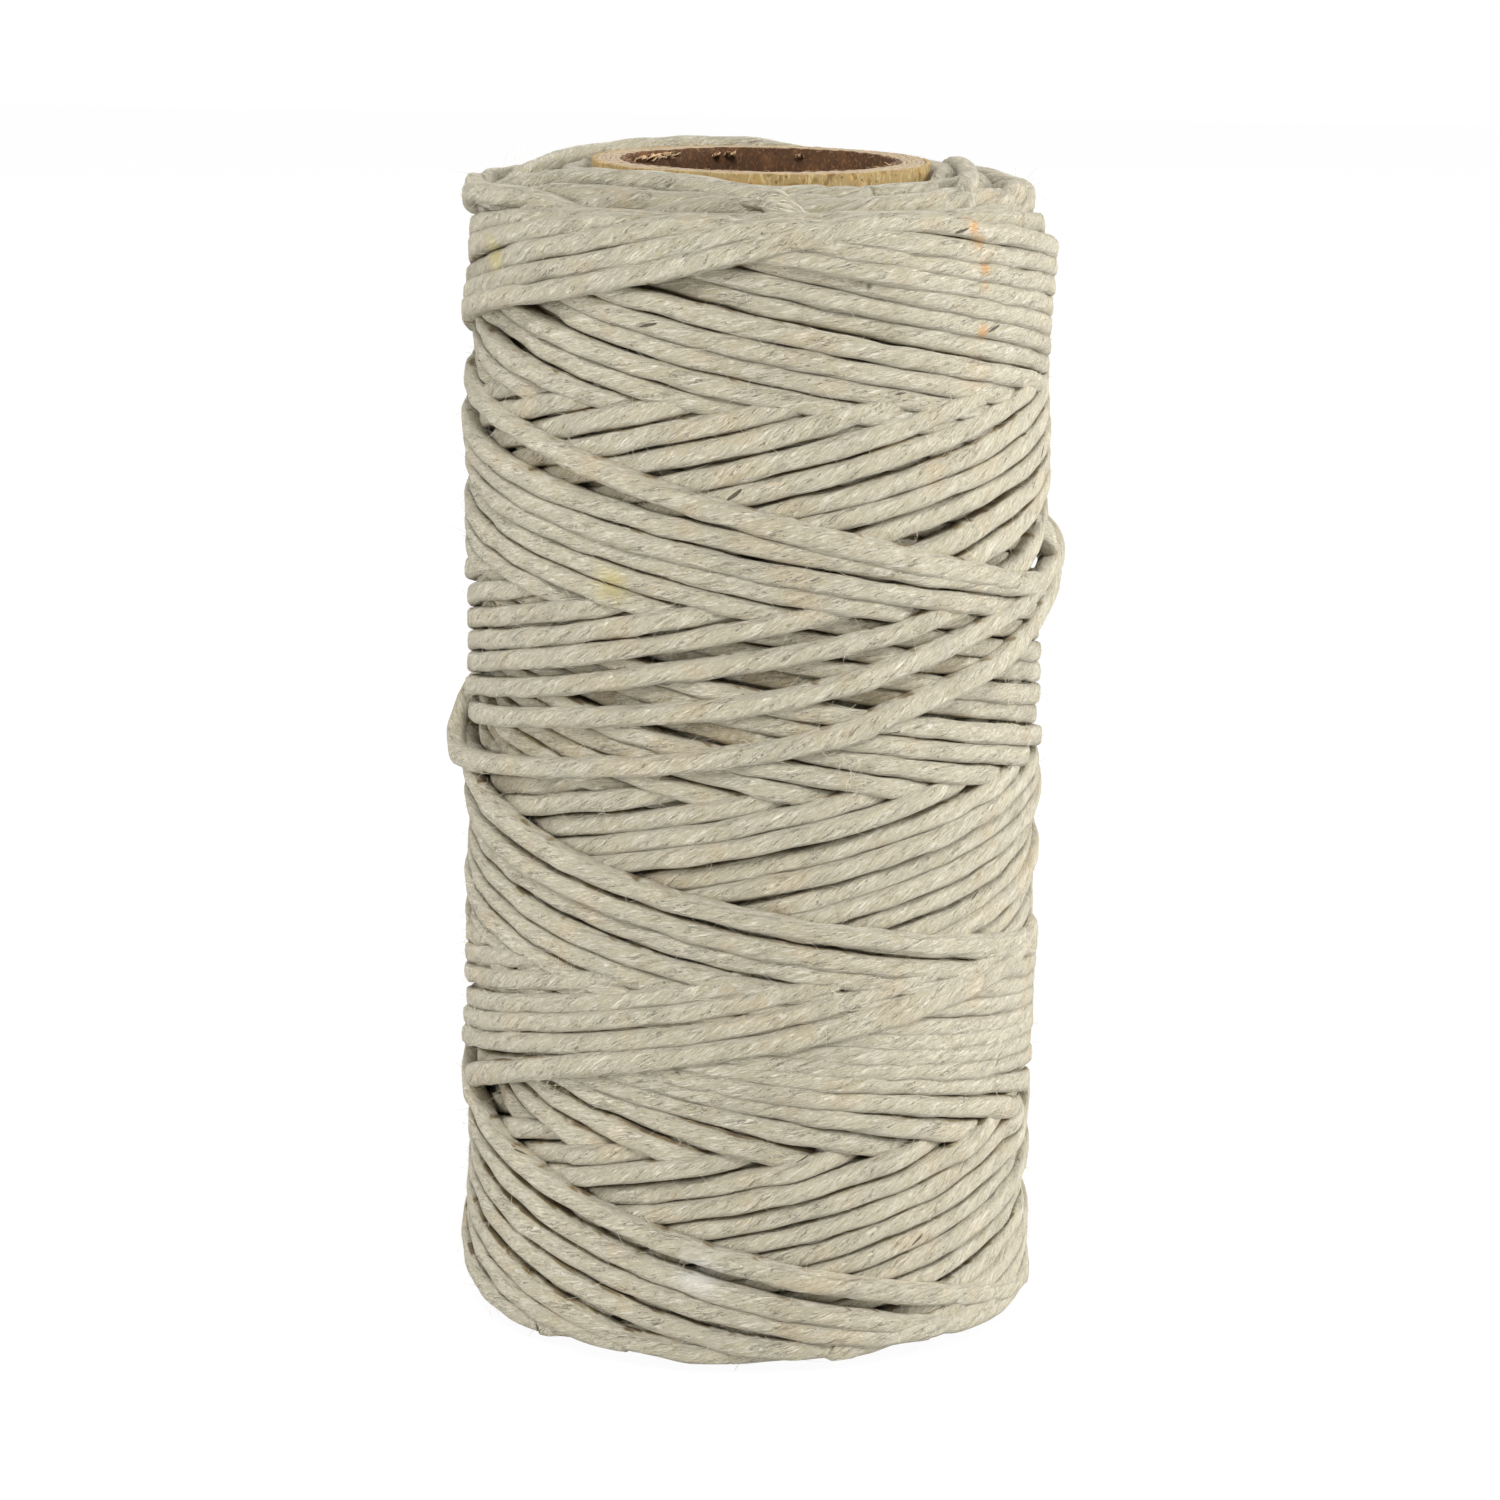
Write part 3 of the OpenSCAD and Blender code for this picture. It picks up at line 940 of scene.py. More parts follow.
# %% The section of the string
SECTION_TURNS = [0, 24, 44, 62, 84, 112, 150, 210, 248, 276, 298, 316, 336]
SIDES = len(SECTION_TURNS)
SECTION_POWER = 3.4
NARROWEST = 0.98
WIDEST = 1.16
GAP = 0.13
WIDTH_SOFTENED = 6


def flattened(share):
    """A sine or cosine, raised to the power of the section's superellipse."""
    return np.sign(share) * np.abs(share) ** (2 / SECTION_POWER)


def section_shape():
    """Points of the section, from the side that faces outwards: (outwards, along the tube)."""
    angle = np.radians(SECTION_TURNS)
    return angle, flattened(np.cos(angle)), flattened(np.sin(angle))


def room_beside(turns, heights, radii):
    """Half the width of the string. Soft string spreads until it meets its neighbours."""
    climb = np.abs(np.gradient(heights, turns))
    slope = climb / (np.radians(1) * radii)
    spacing = SHORT_OF_TURNS * climb / np.sqrt(1 + slope**2)
    return np.clip(soften((spacing - GAP) / 2, WIDTH_SOFTENED), NARROWEST, WIDEST)


print("the section has", SIDES, "sides")

# %% [markdown]
# Each ring of the sweep stands square to the path, with one axis pointing away from the tube. The plies
# add a small wave with three crests that turns along the string to the left, in step with the streaks
# of the material. Thick and thin places, called *slubs*, come at random. A point on a flank of the string
# gets the painted shade of the crease beside it, the outermost points don't, and where a loop stands off
# the side there is no painted shade at all.

# %% Rings of the sweep
MESH_HALF_DEPTH = 0.92
PLY_BULGE = 0.045
WAVER = 0.07
SLUB_LENGTH = 7.0
SLUB_SHARES = (0.05, 0.03)
BESIDE_FROM = math.radians(35)
BESIDE_FADE = math.radians(25)
STANDS_OFF = 0.5


def string_rings(turns, heights, radii, distance, seed):
    """Rings of the swept string, (ring, side, xyz), and the painted shade of each point, from how deep it
    lies in a crease or hollow.
    """
    points = to_points(turns, heights, radii)
    way = unit(np.gradient(points, axis=0))
    outward = to_points(turns, 0 * heights, 1 + 0 * radii)
    across = unit(np.cross(way, outward))
    outward = np.cross(across, way)
    angle, out_share, across_share = section_shape()
    slub = 1 + SLUB_SHARES[0] * random_along(distance, SLUB_LENGTH, seed)
    slub += SLUB_SHARES[1] * random_along(distance, SLUB_LENGTH / 4, seed + 2)
    points = points + (WAVER * random_along(distance, SLUB_LENGTH / 3, seed + 1))[:, None] * across
    twist_angle = angle + distance[:, None] / TWIST_PITCH * math.tau
    bulge = 1 + PLY_BULGE * np.cos(PLIES * twist_angle)
    out_size = (MESH_HALF_DEPTH * slub)[:, None] * bulge * out_share
    across_size = (room_beside(turns, heights, radii) * slub)[:, None] * bulge * across_share
    rings = (points[:, None] + out_size[..., None] * outward[:, None]
             + across_size[..., None] * across[:, None])
    around = np.degrees(np.arctan2(rings[..., 0], -rings[..., 1]))
    off_crest = np.abs((angle + math.pi) % math.tau - math.pi)
    beside = np.clip((off_crest - BESIDE_FROM) / BESIDE_FADE, 0, 1)
    settled = np.clip(1 - (radii - ROLLED_RADIUS) / STANDS_OFF, 0, 1)[:, None]
    # Painted shade: a flank takes the shade of the crease beside it, weaker again in an open gap; a strand
    # low in a hollow takes a weak shade all over
    crease = look_up(crease_shade_depths, around, rings[..., 2])
    crease = np.minimum(crease, np.maximum(OPEN_GAP - crease, OPEN_GAP_SHADE)) * beside
    hollow_shade = HOLLOW_SHADE_SHARE * look_up(hollow_shade_depths, turns, heights)[:, None]
    return rings, (crease + hollow_shade) * settled


print("rings follow a twist of one turn in", TWIST_PITCH, "mm")

# %% [markdown]
# Points and faces become a mesh. The UV map holds the distance along the string and the turn round it,
# and the painted crease shade goes along as an attribute of the points. Most faces are smooth. A cut end
# is one flat face with many corners. Smooth shading would bend its light into a dark line, so it is
# shaded flat.

# %% Points and faces to an object
LARGEST_SMOOTH = 4


def build_mesh(name, points, faces, material, uv=None, crease=None):
    """An object from points in millimetres and faces. Gives the object, riding on the spool."""
    mesh = bpy.data.meshes.new(name)
    mesh.from_pydata((np.asarray(points) * MM).tolist(), [], faces)
    if uv is not None:
        mesh.uv_layers.new(name="strand").data.foreach_set("uv", np.asarray(uv, np.float32).ravel())
    if crease is not None:
        mesh.attributes.new("crease", "FLOAT", "POINT").data.foreach_set(
            "value", np.asarray(crease, np.float32).ravel())
    mesh.polygons.foreach_set("use_smooth", [len(face) <= LARGEST_SMOOTH for face in faces])
    mesh.materials.append(material)
    made = bpy.data.objects.new(name, mesh)
    bpy.context.scene.collection.objects.link(made)
    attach(made, "root")
    return made


print("faces with more than", LARGEST_SMOOTH, "corners are flat")

# %% [markdown]
# The passes of one group are chained into one path, so that the string really runs on from each
# pass into the next. A group also takes the first ring of the next one, which closes the joint between
# two pieces. Hidden gaps in the older passes break the chain, and each end there gets a cap.

# %% Chain passes into one piece
LEAST_RINGS = 4


def chain(numbers):
    """The path of all kept rings of some passes, which show, and which join on to the next."""
    parts = []
    travelled = 0.0
    for number in range(numbers.start, min(numbers.stop + 1, PASSES)):
        turns, heights, radii, shows = pass_path(number)
        step = step_lengths(turns, heights, radii)
        distance = travelled + running_sum(step)
        travelled = distance[-1] + step[-1]
        keep = kept_rings(number, shows, heights)
        if number == numbers.stop:
            keep[1:] = False
        index = number * len(turns) + np.arange(len(turns))
        parts.append(np.stack([turns, heights, radii, distance, index, shows])[:, keep])
    *path, index, shows = np.concatenate(parts, axis=1)
    joined = np.diff(index) <= HIDDEN_RING_STEP
    run = running_sum(~joined)
    keep = np.bincount(run)[run] >= LEAST_RINGS
    return [values[keep] for values in path], shows[keep] > 0, np.diff(run[keep]) == 0


print(f"stretches of fewer than {LEAST_RINGS} rings are left out")

# %% [markdown]
# Between two rings that join, each side gets a face with four corners. The UV map has a value for each
# corner of each face, so the last side can end at a whole turn while the first one begins at 0.

# %% Faces of the string
def string_mesh(name, path, joined, seed):
    """A mesh from a path (turns, heights, radii, distance) and which ring joins on to the next."""
    distance = path[3]
    run = running_sum(~joined)
    rings, crease_shades = [], []
    for number in range(run[-1] + 1):
        mine = run == number
        made, crease = string_rings(*(values[mine] for values in path), seed + number)
        rings.append(made)
        crease_shades.append(crease)
    rings = np.concatenate(rings)
    first = np.flatnonzero(joined)[:, None] * SIDES
    side = np.arange(SIDES)
    after = (side + 1) % SIDES
    quads = np.stack([first + side, first + after, first + SIDES + after, first + SIDES + side], -1)
    starts = np.flatnonzero(np.concatenate([[True], ~joined]))
    ends = np.flatnonzero(np.concatenate([~joined, [True]]))
    caps = [(start * SIDES + side[::-1]).tolist() for start in starts]
    caps += [(end * SIDES + side).tolist() for end in ends]
    along = distance / UV_LENGTH
    here = np.repeat(along[:-1][joined], SIDES).reshape(-1, SIDES)
    there = np.repeat(along[1:][joined], SIDES).reshape(-1, SIDES)
    turn = np.array(SECTION_TURNS + [360]) / 360
    low = np.broadcast_to(turn[:-1], here.shape)
    high = np.broadcast_to(turn[1:], here.shape)
    corners = np.stack([np.stack([here, low], -1), np.stack([here, high], -1),
                        np.stack([there, high], -1), np.stack([there, low], -1)], 2)
    cap_rings = np.concatenate([starts, ends])
    cap_uv = np.stack([np.repeat(along[cap_rings], SIDES), np.tile(turn[:-1], len(cap_rings))], -1)
    uv = np.concatenate([corners.reshape(-1, 2), cap_uv])
    faces = quads.reshape(-1, 4).tolist() + caps
    made = build_mesh(name, rings.reshape(-1, 3), faces, cotton, uv, np.concatenate(crease_shades))
    print(f"{name}: {len(starts)} stretches, {len(rings)} rings, {2 * len(quads) * SIDES} triangles")
    return made, rings


print("a joint of two rings takes", SIDES, "faces")

# %% [markdown]
# The newest covering is built as five pieces, which stand for the outer winding, and the older passes
# as three, which stand for the turns below. One piece for all would be simpler, but a mesh of more than
# 200,000 triangles is thinned when it is exported. The pieces of the newest covering meet at the foot.

# %% Build the string
OUTER_EDGES = (PASSES - FULL_COVER, 76, 84, 90, 96, PASSES)
INNER_EDGES = (0, 44, 57, PASSES - FULL_COVER)


def build_groups(name, edges, first_seed, seed_step, node):
    """One piece for each group of passes between two edges. Gives the rings that show."""
    visible = []
    for group, (start, end) in enumerate(zip(edges[:-1], edges[1:])):
        path, shows, joined = chain(range(start, end))
        seed = first_seed + seed_step * group
        made, rings = string_mesh(f"{name}_{group + 1}", path, joined, seed)
        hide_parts(node)
        visible.append(rings[shows])
    return np.concatenate(visible)


visible_rings = build_groups("string_outer", OUTER_EDGES, 0, 100, "outer_winding")
build_groups("string_inner_turns", INNER_EDGES, 5000, 400, "inner_winding")

# %% [markdown]
# Some loops have slipped over the upper shoulder towards the tube. Such a string is taut, so seen from
# above it is a straight line between two points of the shoulder, unless the tube bends it round. One
# more loop stands off at the left, a short one lies inside the slack loop at the right, and one fills
# the groove along the front of the shoulder. Each is drawn through a few points of turn, radius and
# height, and its ends lie in the winding or low against it. A curve object could be drawn through them
# too. The sweep from above gives them the same plies and finish as the rest of the string.

# %% Slipped loops
SLIPPED_LOOPS = [
    [(-78, 24.2, 105.2), (-84, 22.8, 106.7), (-92, 20.8, 108.0), (-104, 19.0, 108.7),
     (-120, 17.7, 109.0), (-140, 17.0, 109.2), (-163, 16.9, 109.3), (-182, 17.4, 108.9),
     (-198, 19.0, 107.8), (-212, 21.0, 106.3)],
    [(11, 25.8, 104.2), (5, 24.2, 107.1), (0, 22.6, 107.9), (-15, 19.6, 108.4), (-36, 18.4, 108.6),
     (-60, 20.2, 108.3), (-74, 23.6, 106.7), (-80, 25.3, 105.2)],
    [(133, 24.0, 105.4), (122, 21.6, 107.8), (100, 19.3, 108.3), (80, 19.4, 108.2), (60, 21.5, 107.6),
     (47, 24.9, 104.0)],
    [(-68, 26.4, 53.7), (-78, 27.3, 53.2), (-86, 28.1, 53.2), (-93, 28.4, 54.5), (-99, 28.0, 56.5),
     (-104, 27.2, 58.4), (-110, 26.0, 59.8)],
    [(80, 25.8, 76.6), (85, 27.2, 75.0), (89, 27.7, 73.0), (93, 27.7, 70.8), (98, 27.1, 68.8),
     (103, 25.8, 67.2)],
    [(-9, 25.4, 104.9), (0, 25.5, 105.9), (12, 25.5, 106.0), (24, 25.5, 106.1), (36, 25.2, 105.9),
     (48, 25.4, 105.8), (60, 25.5, 105.3), (72, 25.3, 104.7), (84, 25.5, 104.1), (92, 25.6, 103.4),
     (99, 25.7, 102.2)],
]
RINGS_A_POINT = 16


def build_slipped():
    paths, joined = [], []
    for points in SLIPPED_LOOPS:
        known = np.arange(len(points), dtype=float)
        place = np.linspace(0, known[-1], len(points) * RINGS_A_POINT)
        turns, radii, heights = (smooth_through(place, known, np.array(v)) for v in zip(*points))
        distance = running_sum(step_lengths(turns, heights, radii))
        paths.append(np.stack([turns, heights, radii, distance]))
        joined += [True] * (len(turns) - 1) + [False]
    return string_mesh("string_slipped_loops", np.concatenate(paths, axis=1), np.array(joined[:-1]), 7000)


slipped_piece, _ = build_slipped()
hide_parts("outer_winding")

# %% [markdown]
# Each reversal of the first passes lies on the end face as part of a ring round the tube. A coil at each
# end stands for those that lie lowest there: one flat spiral, which the later loops partly cover.

# %% Coils under the end faces
COIL_DEPTH = 1.9
COIL_PITCH = 1.85
COIL_TURN_STEP = 1.5
COIL_FROM_TUBE = 1.0
COIL_FROM_SIDE = 2.2
COIL_RISE = 0.35
COIL_SWAY = 0.15


def coil_path(height, seed):
    """A flat spiral from the tube out to the shoulder: turns, heights, radii and distance."""
    innermost = TUBE_RADIUS + COIL_FROM_TUBE
    outermost = ROLLED_RADIUS - COIL_FROM_SIDE
    turns = -np.arange(0, 360 * (outermost - innermost) / COIL_PITCH, COIL_TURN_STEP)
    radii = innermost - COIL_PITCH * turns / 360
    distance = running_sum(np.radians(COIL_TURN_STEP) * radii[1:])
    heights = height + COIL_RISE * random_along(distance, 14.0, seed)
    return turns, heights, radii + COIL_SWAY * random_along(distance, 9.0, seed + 1), distance


def build_coils():
    low = np.stack(coil_path(WINDING_BOTTOM + COIL_DEPTH, 60))
    high = np.stack(coil_path(WINDING_TOP - COIL_DEPTH, 70))
    joined = np.ones(low.shape[1] + high.shape[1] - 1, bool)
    joined[low.shape[1] - 1] = False
    return string_mesh("string_end_coils", np.concatenate([low, high], axis=1), joined, 8000)


coil_piece, _ = build_coils()
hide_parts("inner_winding")

# %% [markdown]
# Behind all strands lies the body: the turns deepest inside, as one turned shape a little smaller than
# the surface. Little of it can be seen, through the few gaps that go all the way down. Its colour is
# half-way into the painted shade of the creases, because those turns lie in shadow. It could be a
# cylinder, but the real one has rounded shoulders, so it is turned from a profile. The function that
# turns it makes the plies of the tube as well.

# %% The body of the winding
BODY_DEPTH = 2.6
BODY_END_INSET = 2.4
BODY_COLUMNS = 120
BODY_SHADE = 0.5
BODY_CLEARANCE = 0.1
BODY_CORNER = [(SHOULDER - 1, 0), (0.5, 0.8), (0, SHOULDER)]


def revolve(name, profile, columns, material, wobble=None):
    """A closed ring turned from a profile of (radius, height) points."""
    angle = np.arange(columns) / columns * math.tau
    profile = np.asarray(profile, float)
    radii = np.broadcast_to(profile[:, 0], (columns, len(profile))).copy()
    heights = np.broadcast_to(profile[:, 1], (columns, len(profile))).copy()
    if wobble is not None:
        more_radius, more_height = wobble(angle, profile)
        radii += more_radius
        heights += more_height
    points = round_axis(angle[:, None], radii, heights)
    count = len(profile)
    column = np.arange(columns)[:, None]
    place = np.arange(count)
    after = (place + 1) % count
    turned = (column + 1) % columns
    quads = np.stack([column * count + place, turned * count + place,
                      turned * count + after, column * count + after], -1)
    return build_mesh(name, points.reshape(-1, 3), quads.reshape(-1, 4).tolist(), material)


def build_body():
    outer = ROLLED_RADIUS - BODY_DEPTH
    low = WINDING_BOTTOM + BODY_END_INSET
    high = WINDING_TOP - BODY_END_INSET
    inner = TUBE_RADIUS + BODY_CLEARANCE
    profile = [(inner, low)] + [(outer - inset, low + rise) for inset, rise in BODY_CORNER]
    profile += [(outer - inset, high - rise) for inset, rise in reversed(BODY_CORNER)] + [(inner, high)]
    made = revolve("string_body", profile, BODY_COLUMNS, cotton)
    # The body takes a painted shade, half-way to the brown of the creases
    body_shade_layer = made.data.attributes.new("crease", "FLOAT", "POINT")
    body_shade_layer.data.foreach_set("value", [BODY_SHADE] * len(made.data.vertices))
    return made


body = build_body()
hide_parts("inner_winding")
print("body with", len(body.data.vertices), "points")

# %% [markdown]
# ## Paper tube
#
# The tube is made of paper strips wound in a spiral and glued: a smooth brown liner, five plies of grey
# board, and a golden kraft face. A saw cuts it to length, which leaves the plies standing a little
# uneven and their edges furred. The measured solids are plain sleeves, exact in size but with ideal
# edges. A bevel modifier would round those edges evenly, and a sawn edge isn't even. So each ply is
# turned again from a finer profile, and a random wave lowers its cut ends. Its outer wall keeps its
# radius. Its inner wall stands 0.02 mm clear of the ply inside it, so that no two faces coincide.

# %% Paper tube: finish
KRAFT = linear(158, 136, 92)
BOARD = linear(168, 150, 124)
LINER = linear(85, 60, 41)


def paper_group():
    """Paper's surface: long fibres that cross each other, as a height and as a mask."""
    tree, source, result = new_group(
        "paper_fibres", [("Fibre mm", "Float", 1.2), ("Stretch", "Vector", (1, 1, 0.6))],
        [("Height", "Float"), ("Fibres", "Float")])
    space = own_space(tree)
    per_metre = calc(tree, "DIVIDE", 1 / MM, source.outputs["Fibre mm"])
    long_way = put(tree, "ShaderNodeVectorMath", {0: space, 1: source.outputs["Stretch"]},
                   operation="MULTIPLY").outputs[0]
    fibres = noise(tree, long_way, calc(tree, "MULTIPLY", per_metre, 4.0), detail=4.0, distortion=0.6)
    pulp = noise(tree, space, calc(tree, "MULTIPLY", per_metre, 1.3), detail=5.0, roughness=0.7)
    height = calc(tree, "ADD", calc(tree, "MULTIPLY", fibres, 0.5), calc(tree, "MULTIPLY", pulp, 0.5))
    tree.links.new(height, result.inputs["Height"])
    tree.links.new(ramp(tree, fibres, 0.5, 0.68), result.inputs["Fibres"])
    return tree


paper_fibres = paper_group()


def paper_material(name, colour, warm, grey, fibre_colour, speck_colour, patch, stretch=(1, 1, 0.6)):
    material, tree, shader = new_material(name, {"Roughness": 0.9, "Specular IOR Level": 0.25})
    base = place_group(tree, mottling, {"Colour": colour, "Warm": warm, "Grey": grey,
                                        "Size mm": patch, "Amount": 0.8})["Colour"]
    paper = place_group(tree, paper_fibres, {"Stretch": stretch})
    base = tint(tree, base, paper["Fibres"], 0.55, fibre_colour)
    space = own_space(tree)
    bark = place_group(tree, specks, {"Vector": space, "Scale": 2200.0, "Share": 0.2,
                                      "Radius": 0.3})["Mask"]
    base = tint(tree, base, bark, 0.6, speck_colour)
    colour_and_relief(tree, shader, base, paper["Height"], 0.6, 0.2 * MM)
    return material


kraft = paper_material("kraft_face", KRAFT, linear(192, 156, 96), linear(108, 82, 46),
                       linear(214, 190, 138), linear(78, 54, 28), 1.2, (1, 1, 0.3))
board = paper_material("core_board", BOARD, linear(188, 156, 120), linear(152, 137, 114),
                       linear(204, 188, 162), linear(112, 90, 68), 2.0, (1, 1, 1))
liner = paper_material("liner_paper", LINER, linear(122, 84, 52), linear(84, 60, 42),
                       linear(140, 104, 70), linear(52, 34, 22), 3.0)
torn = paper_material("torn_paper", linear(214, 180, 140), linear(204, 160, 112), linear(190, 164, 134),
                      linear(236, 214, 182), linear(150, 110, 74), 3.0, (1, 1, 1))


def add_seam(material, pitch, width, colour):
    """The line where one turn of the wound strip ends and the next begins, as a dark spiral."""
    tree = material.node_tree
    shader = tree.nodes["Principled BSDF"]
    base = shader.inputs["Base Color"].links[0].from_socket
    space = put(tree, "ShaderNodeSeparateXYZ", {0: own_space(tree)}).outputs
    turn = calc(tree, "DIVIDE", calc(tree, "ARCTAN2", space["Y"], space["X"]), math.tau)
    climb = calc(tree, "ADD", turn, calc(tree, "DIVIDE", space["Z"], pitch * MM))
    off = calc(tree, "ABSOLUTE", calc(tree, "SUBTRACT", calc(tree, "FRACT", climb), 0.5))
    seam = ramp(tree, off, 0.0, width / pitch, 0.8, 0.0)
    tree.links.new(blend_colours(tree, seam, base, colour), shader.inputs["Base Color"])


add_seam(liner, 62.0, 0.35, linear(44, 30, 20))
print("paper materials:", kraft.name, board.name, liner.name, torn.name)

# %% [markdown]
# Each ply is turned from a profile of two walls and two softly rounded ends. The saw's wave only moves
# points near the ends, so the rest of the walls is plain. It is made of fine and broad random waves,
# and is weaker at the foot. Next to the cut a ply also bulges in and out by a few hundredths of a
# millimetre, because the saw pulls the layers apart.

# %% Paper tube: plies
PLY_COLUMNS = 360
PLY_EDGE = 0.07
PLY_CLEARANCE = 0.02
SAW_PLAY = 0.16
SAW_MIDDLE = 0.35
SAW_WAVES = 0.3
FOOT_SHARE = 0.4
CUT_BULGE = 0.03
NEAR_CUT = TUBE_LENGTH * 0.03


def random_round(angle, waves, seed):
    """Smooth random values round a circle, between about -1 and 1."""
    chance = np.random.default_rng(seed)
    total = np.zeros_like(angle)
    for wave in range(1, waves + 1):
        total += chance.normal(0, 1) * np.sin(wave * angle + chance.uniform(0, math.tau))
    return total / math.sqrt(waves)


def ply_profile(inner, outer):
    """The cut-through shape of one ply: two walls and two softly rounded ends."""
    edge = min(PLY_EDGE, (outer - inner) / 2.2)
    corner = [(0, edge), (edge * 0.3, edge * 0.3), (edge, 0)]
    inner_low = [(inner + x, z) for x, z in corner]
    outer_low = [(outer - x, z) for x, z in reversed(corner)]
    walls = [TUBE_LENGTH * share for share in (0.02, 0.2, 0.5, 0.8, 0.98)]
    outer_wall = [(outer, z) for z in walls]
    outer_high = [(outer - x, TUBE_LENGTH - z) for x, z in corner]
    inner_high = [(inner + x, TUBE_LENGTH - z) for x, z in reversed(corner)]
    inner_wall = [(inner, z) for z in reversed(walls)]
    return inner_low + outer_low + outer_wall + outer_high + inner_high + inner_wall


def build_ply(node, inner, outer, material, seed):
    """One ply of the tube. Its cut ends lie up to SAW_PLAY below the full length."""
    def saw(angle, profile):
        near_top = np.clip(1 - (TUBE_LENGTH - profile[:, 1]) / NEAR_CUT, 0, 1)
        near_foot = np.clip(1 - profile[:, 1] / NEAR_CUT, 0, 1)
        lowered = SAW_PLAY * (SAW_MIDDLE + SAW_WAVES * np.tanh(random_round(angle, 60, seed))
                              + SAW_WAVES * np.tanh(random_round(angle, 7, seed + 1)))
        bulge = CUT_BULGE * np.tanh(random_round(angle, 24, seed + 2))[:, None]
        radius = bulge * (near_top + near_foot)
        height = np.clip(lowered, 0, None)[:, None] * (near_foot * FOOT_SHARE - near_top)
        return radius, height
    made = revolve(node.replace("core", "paper"), ply_profile(inner, outer), PLY_COLUMNS, material, saw)
    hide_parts(node)


def build_tube():
    plies = [("core_liner_ply", liner, "liner_paper")]
    boards = sorted(name for name in frame["nodes"] if name.startswith("core_board_ply"))
    plies += [(name, board, "core_board") for name in boards]
    plies += [("core_face_ply", kraft, "kraft_face")]
    inner = BORE_RADIUS
    for number, (node, material, slot) in enumerate(plies):
        outer = outer_radius(node)
        build_ply(node, inner, outer, material, 700 + 10 * number)
        inner = outer + PLY_CLEARANCE
    return len(plies)


print(build_tube(), "plies of paper")

# %% [markdown]
# The saw tears the inner plies as it breaks through. Scraps of pale pulp hang on at the inner edge,
# curled inwards. Cloth simulation would be slow for scraps of a millimetre or two. A small grid
# of points is enough: its lower edge stays on the wall, the rest curls away from it, and random values
# make it ragged. Two such sheets a tenth of a millimetre apart, joined at the edge, give it thickness.

# %% Torn paper
TEARS = [(-128, 1.5, 1.5, 1.3), (-121, 1.9, 1.3, 1.6), (-113, 1.3, 1.1, 0.9), (-137, 1.2, 0.9, 0.7),
         (-166, 1.1, 1.0, 0.8), (-160, 0.8, 0.7, 0.5), (163, 0.9, 0.6, 0.5), (95, 0.9, 0.7, 0.4),
         (-78, 0.8, 0.6, 0.4)]
TEAR_COLUMNS = 11
TEAR_ROWS = 8
TEAR_THICKNESS = 0.1
TEAR_RAGGED = 0.25
TEAR_CRUMPLE = 0.16
TEAR_NARROWS = 0.35
TEAR_ROOT = 0.9


def tear_sheet(turn, width, tall, curl, chance):
    """Points of one scrap: (row, column, xyz)."""
    u = np.linspace(-1, 1, TEAR_COLUMNS)[None]
    v = np.linspace(0, 1, TEAR_ROWS)[:, None]
    ragged = 1 + chance.normal(0, TEAR_RAGGED, (TEAR_ROWS, TEAR_COLUMNS)) * v
    sideways = u * width * (1 - TEAR_NARROWS * v) * ragged / 2
    crumple = chance.normal(0, TEAR_CRUMPLE, (TEAR_ROWS, TEAR_COLUMNS)) * (0.2 + v)
    inwards = 0.05 + curl * v**1.5 * ragged + crumple * (0.4 + v)
    upwards = tall * (v - 0.75 * v**2) * ragged + crumple
    radius = BORE_RADIUS - np.clip(inwards, 0.02, None)
    angle = math.radians(turn) + sideways / BORE_RADIUS
    height = np.minimum(TUBE_LENGTH - TEAR_ROOT + upwards, TUBE_LENGTH - TEAR_THICKNESS / 2)
    return round_axis(angle, radius, height)


def build_tears():
    chance = np.random.default_rng(31)
    points, faces = [], []
    for turn, width, tall, curl in TEARS:
        sheet = tear_sheet(turn, width, tall, curl, chance)
        outward = unit(sheet * [1, 1, 0])
        start = sum(len(part) for part in points)
        points += [sheet.reshape(-1, 3), (sheet + outward * TEAR_THICKNESS).reshape(-1, 3)]
        grid = np.arange(TEAR_ROWS * TEAR_COLUMNS).reshape(TEAR_ROWS, TEAR_COLUMNS)
        a, b, c, d = grid[:-1, :-1], grid[:-1, 1:], grid[1:, 1:], grid[1:, :-1]
        quads = np.stack([a, b, c, d], -1).reshape(-1, 4)
        rim = np.concatenate([grid[0], grid[1:, -1], grid[-1, -2::-1], grid[-2:0:-1, 0]])
        after = np.roll(rim, -1)
        back = TEAR_ROWS * TEAR_COLUMNS
        sides = np.stack([rim, rim + back, after + back, after], -1)
        faces += (start + np.concatenate([quads, quads[:, ::-1] + back, sides])).tolist()
    made = build_mesh("paper_scraps", np.concatenate(points), faces, torn)


build_tears()
print(len(TEARS), "scraps of torn paper")

# %% [markdown]
# ## Loose fibres
#
# Carded cotton is full of fibre ends. Seen from a step away they make the outline soft, and close up
# they stand out as fine curls. A hair system would grow them too, but hairs aren't part of an exported
# mesh. Here each fibre is a thin bent three-sided tube of its own. The roots are picked at random from
# the strands that show.

# %% Fibres
FIBRE_POINTS = 5
FIBRE_SIDES = 3


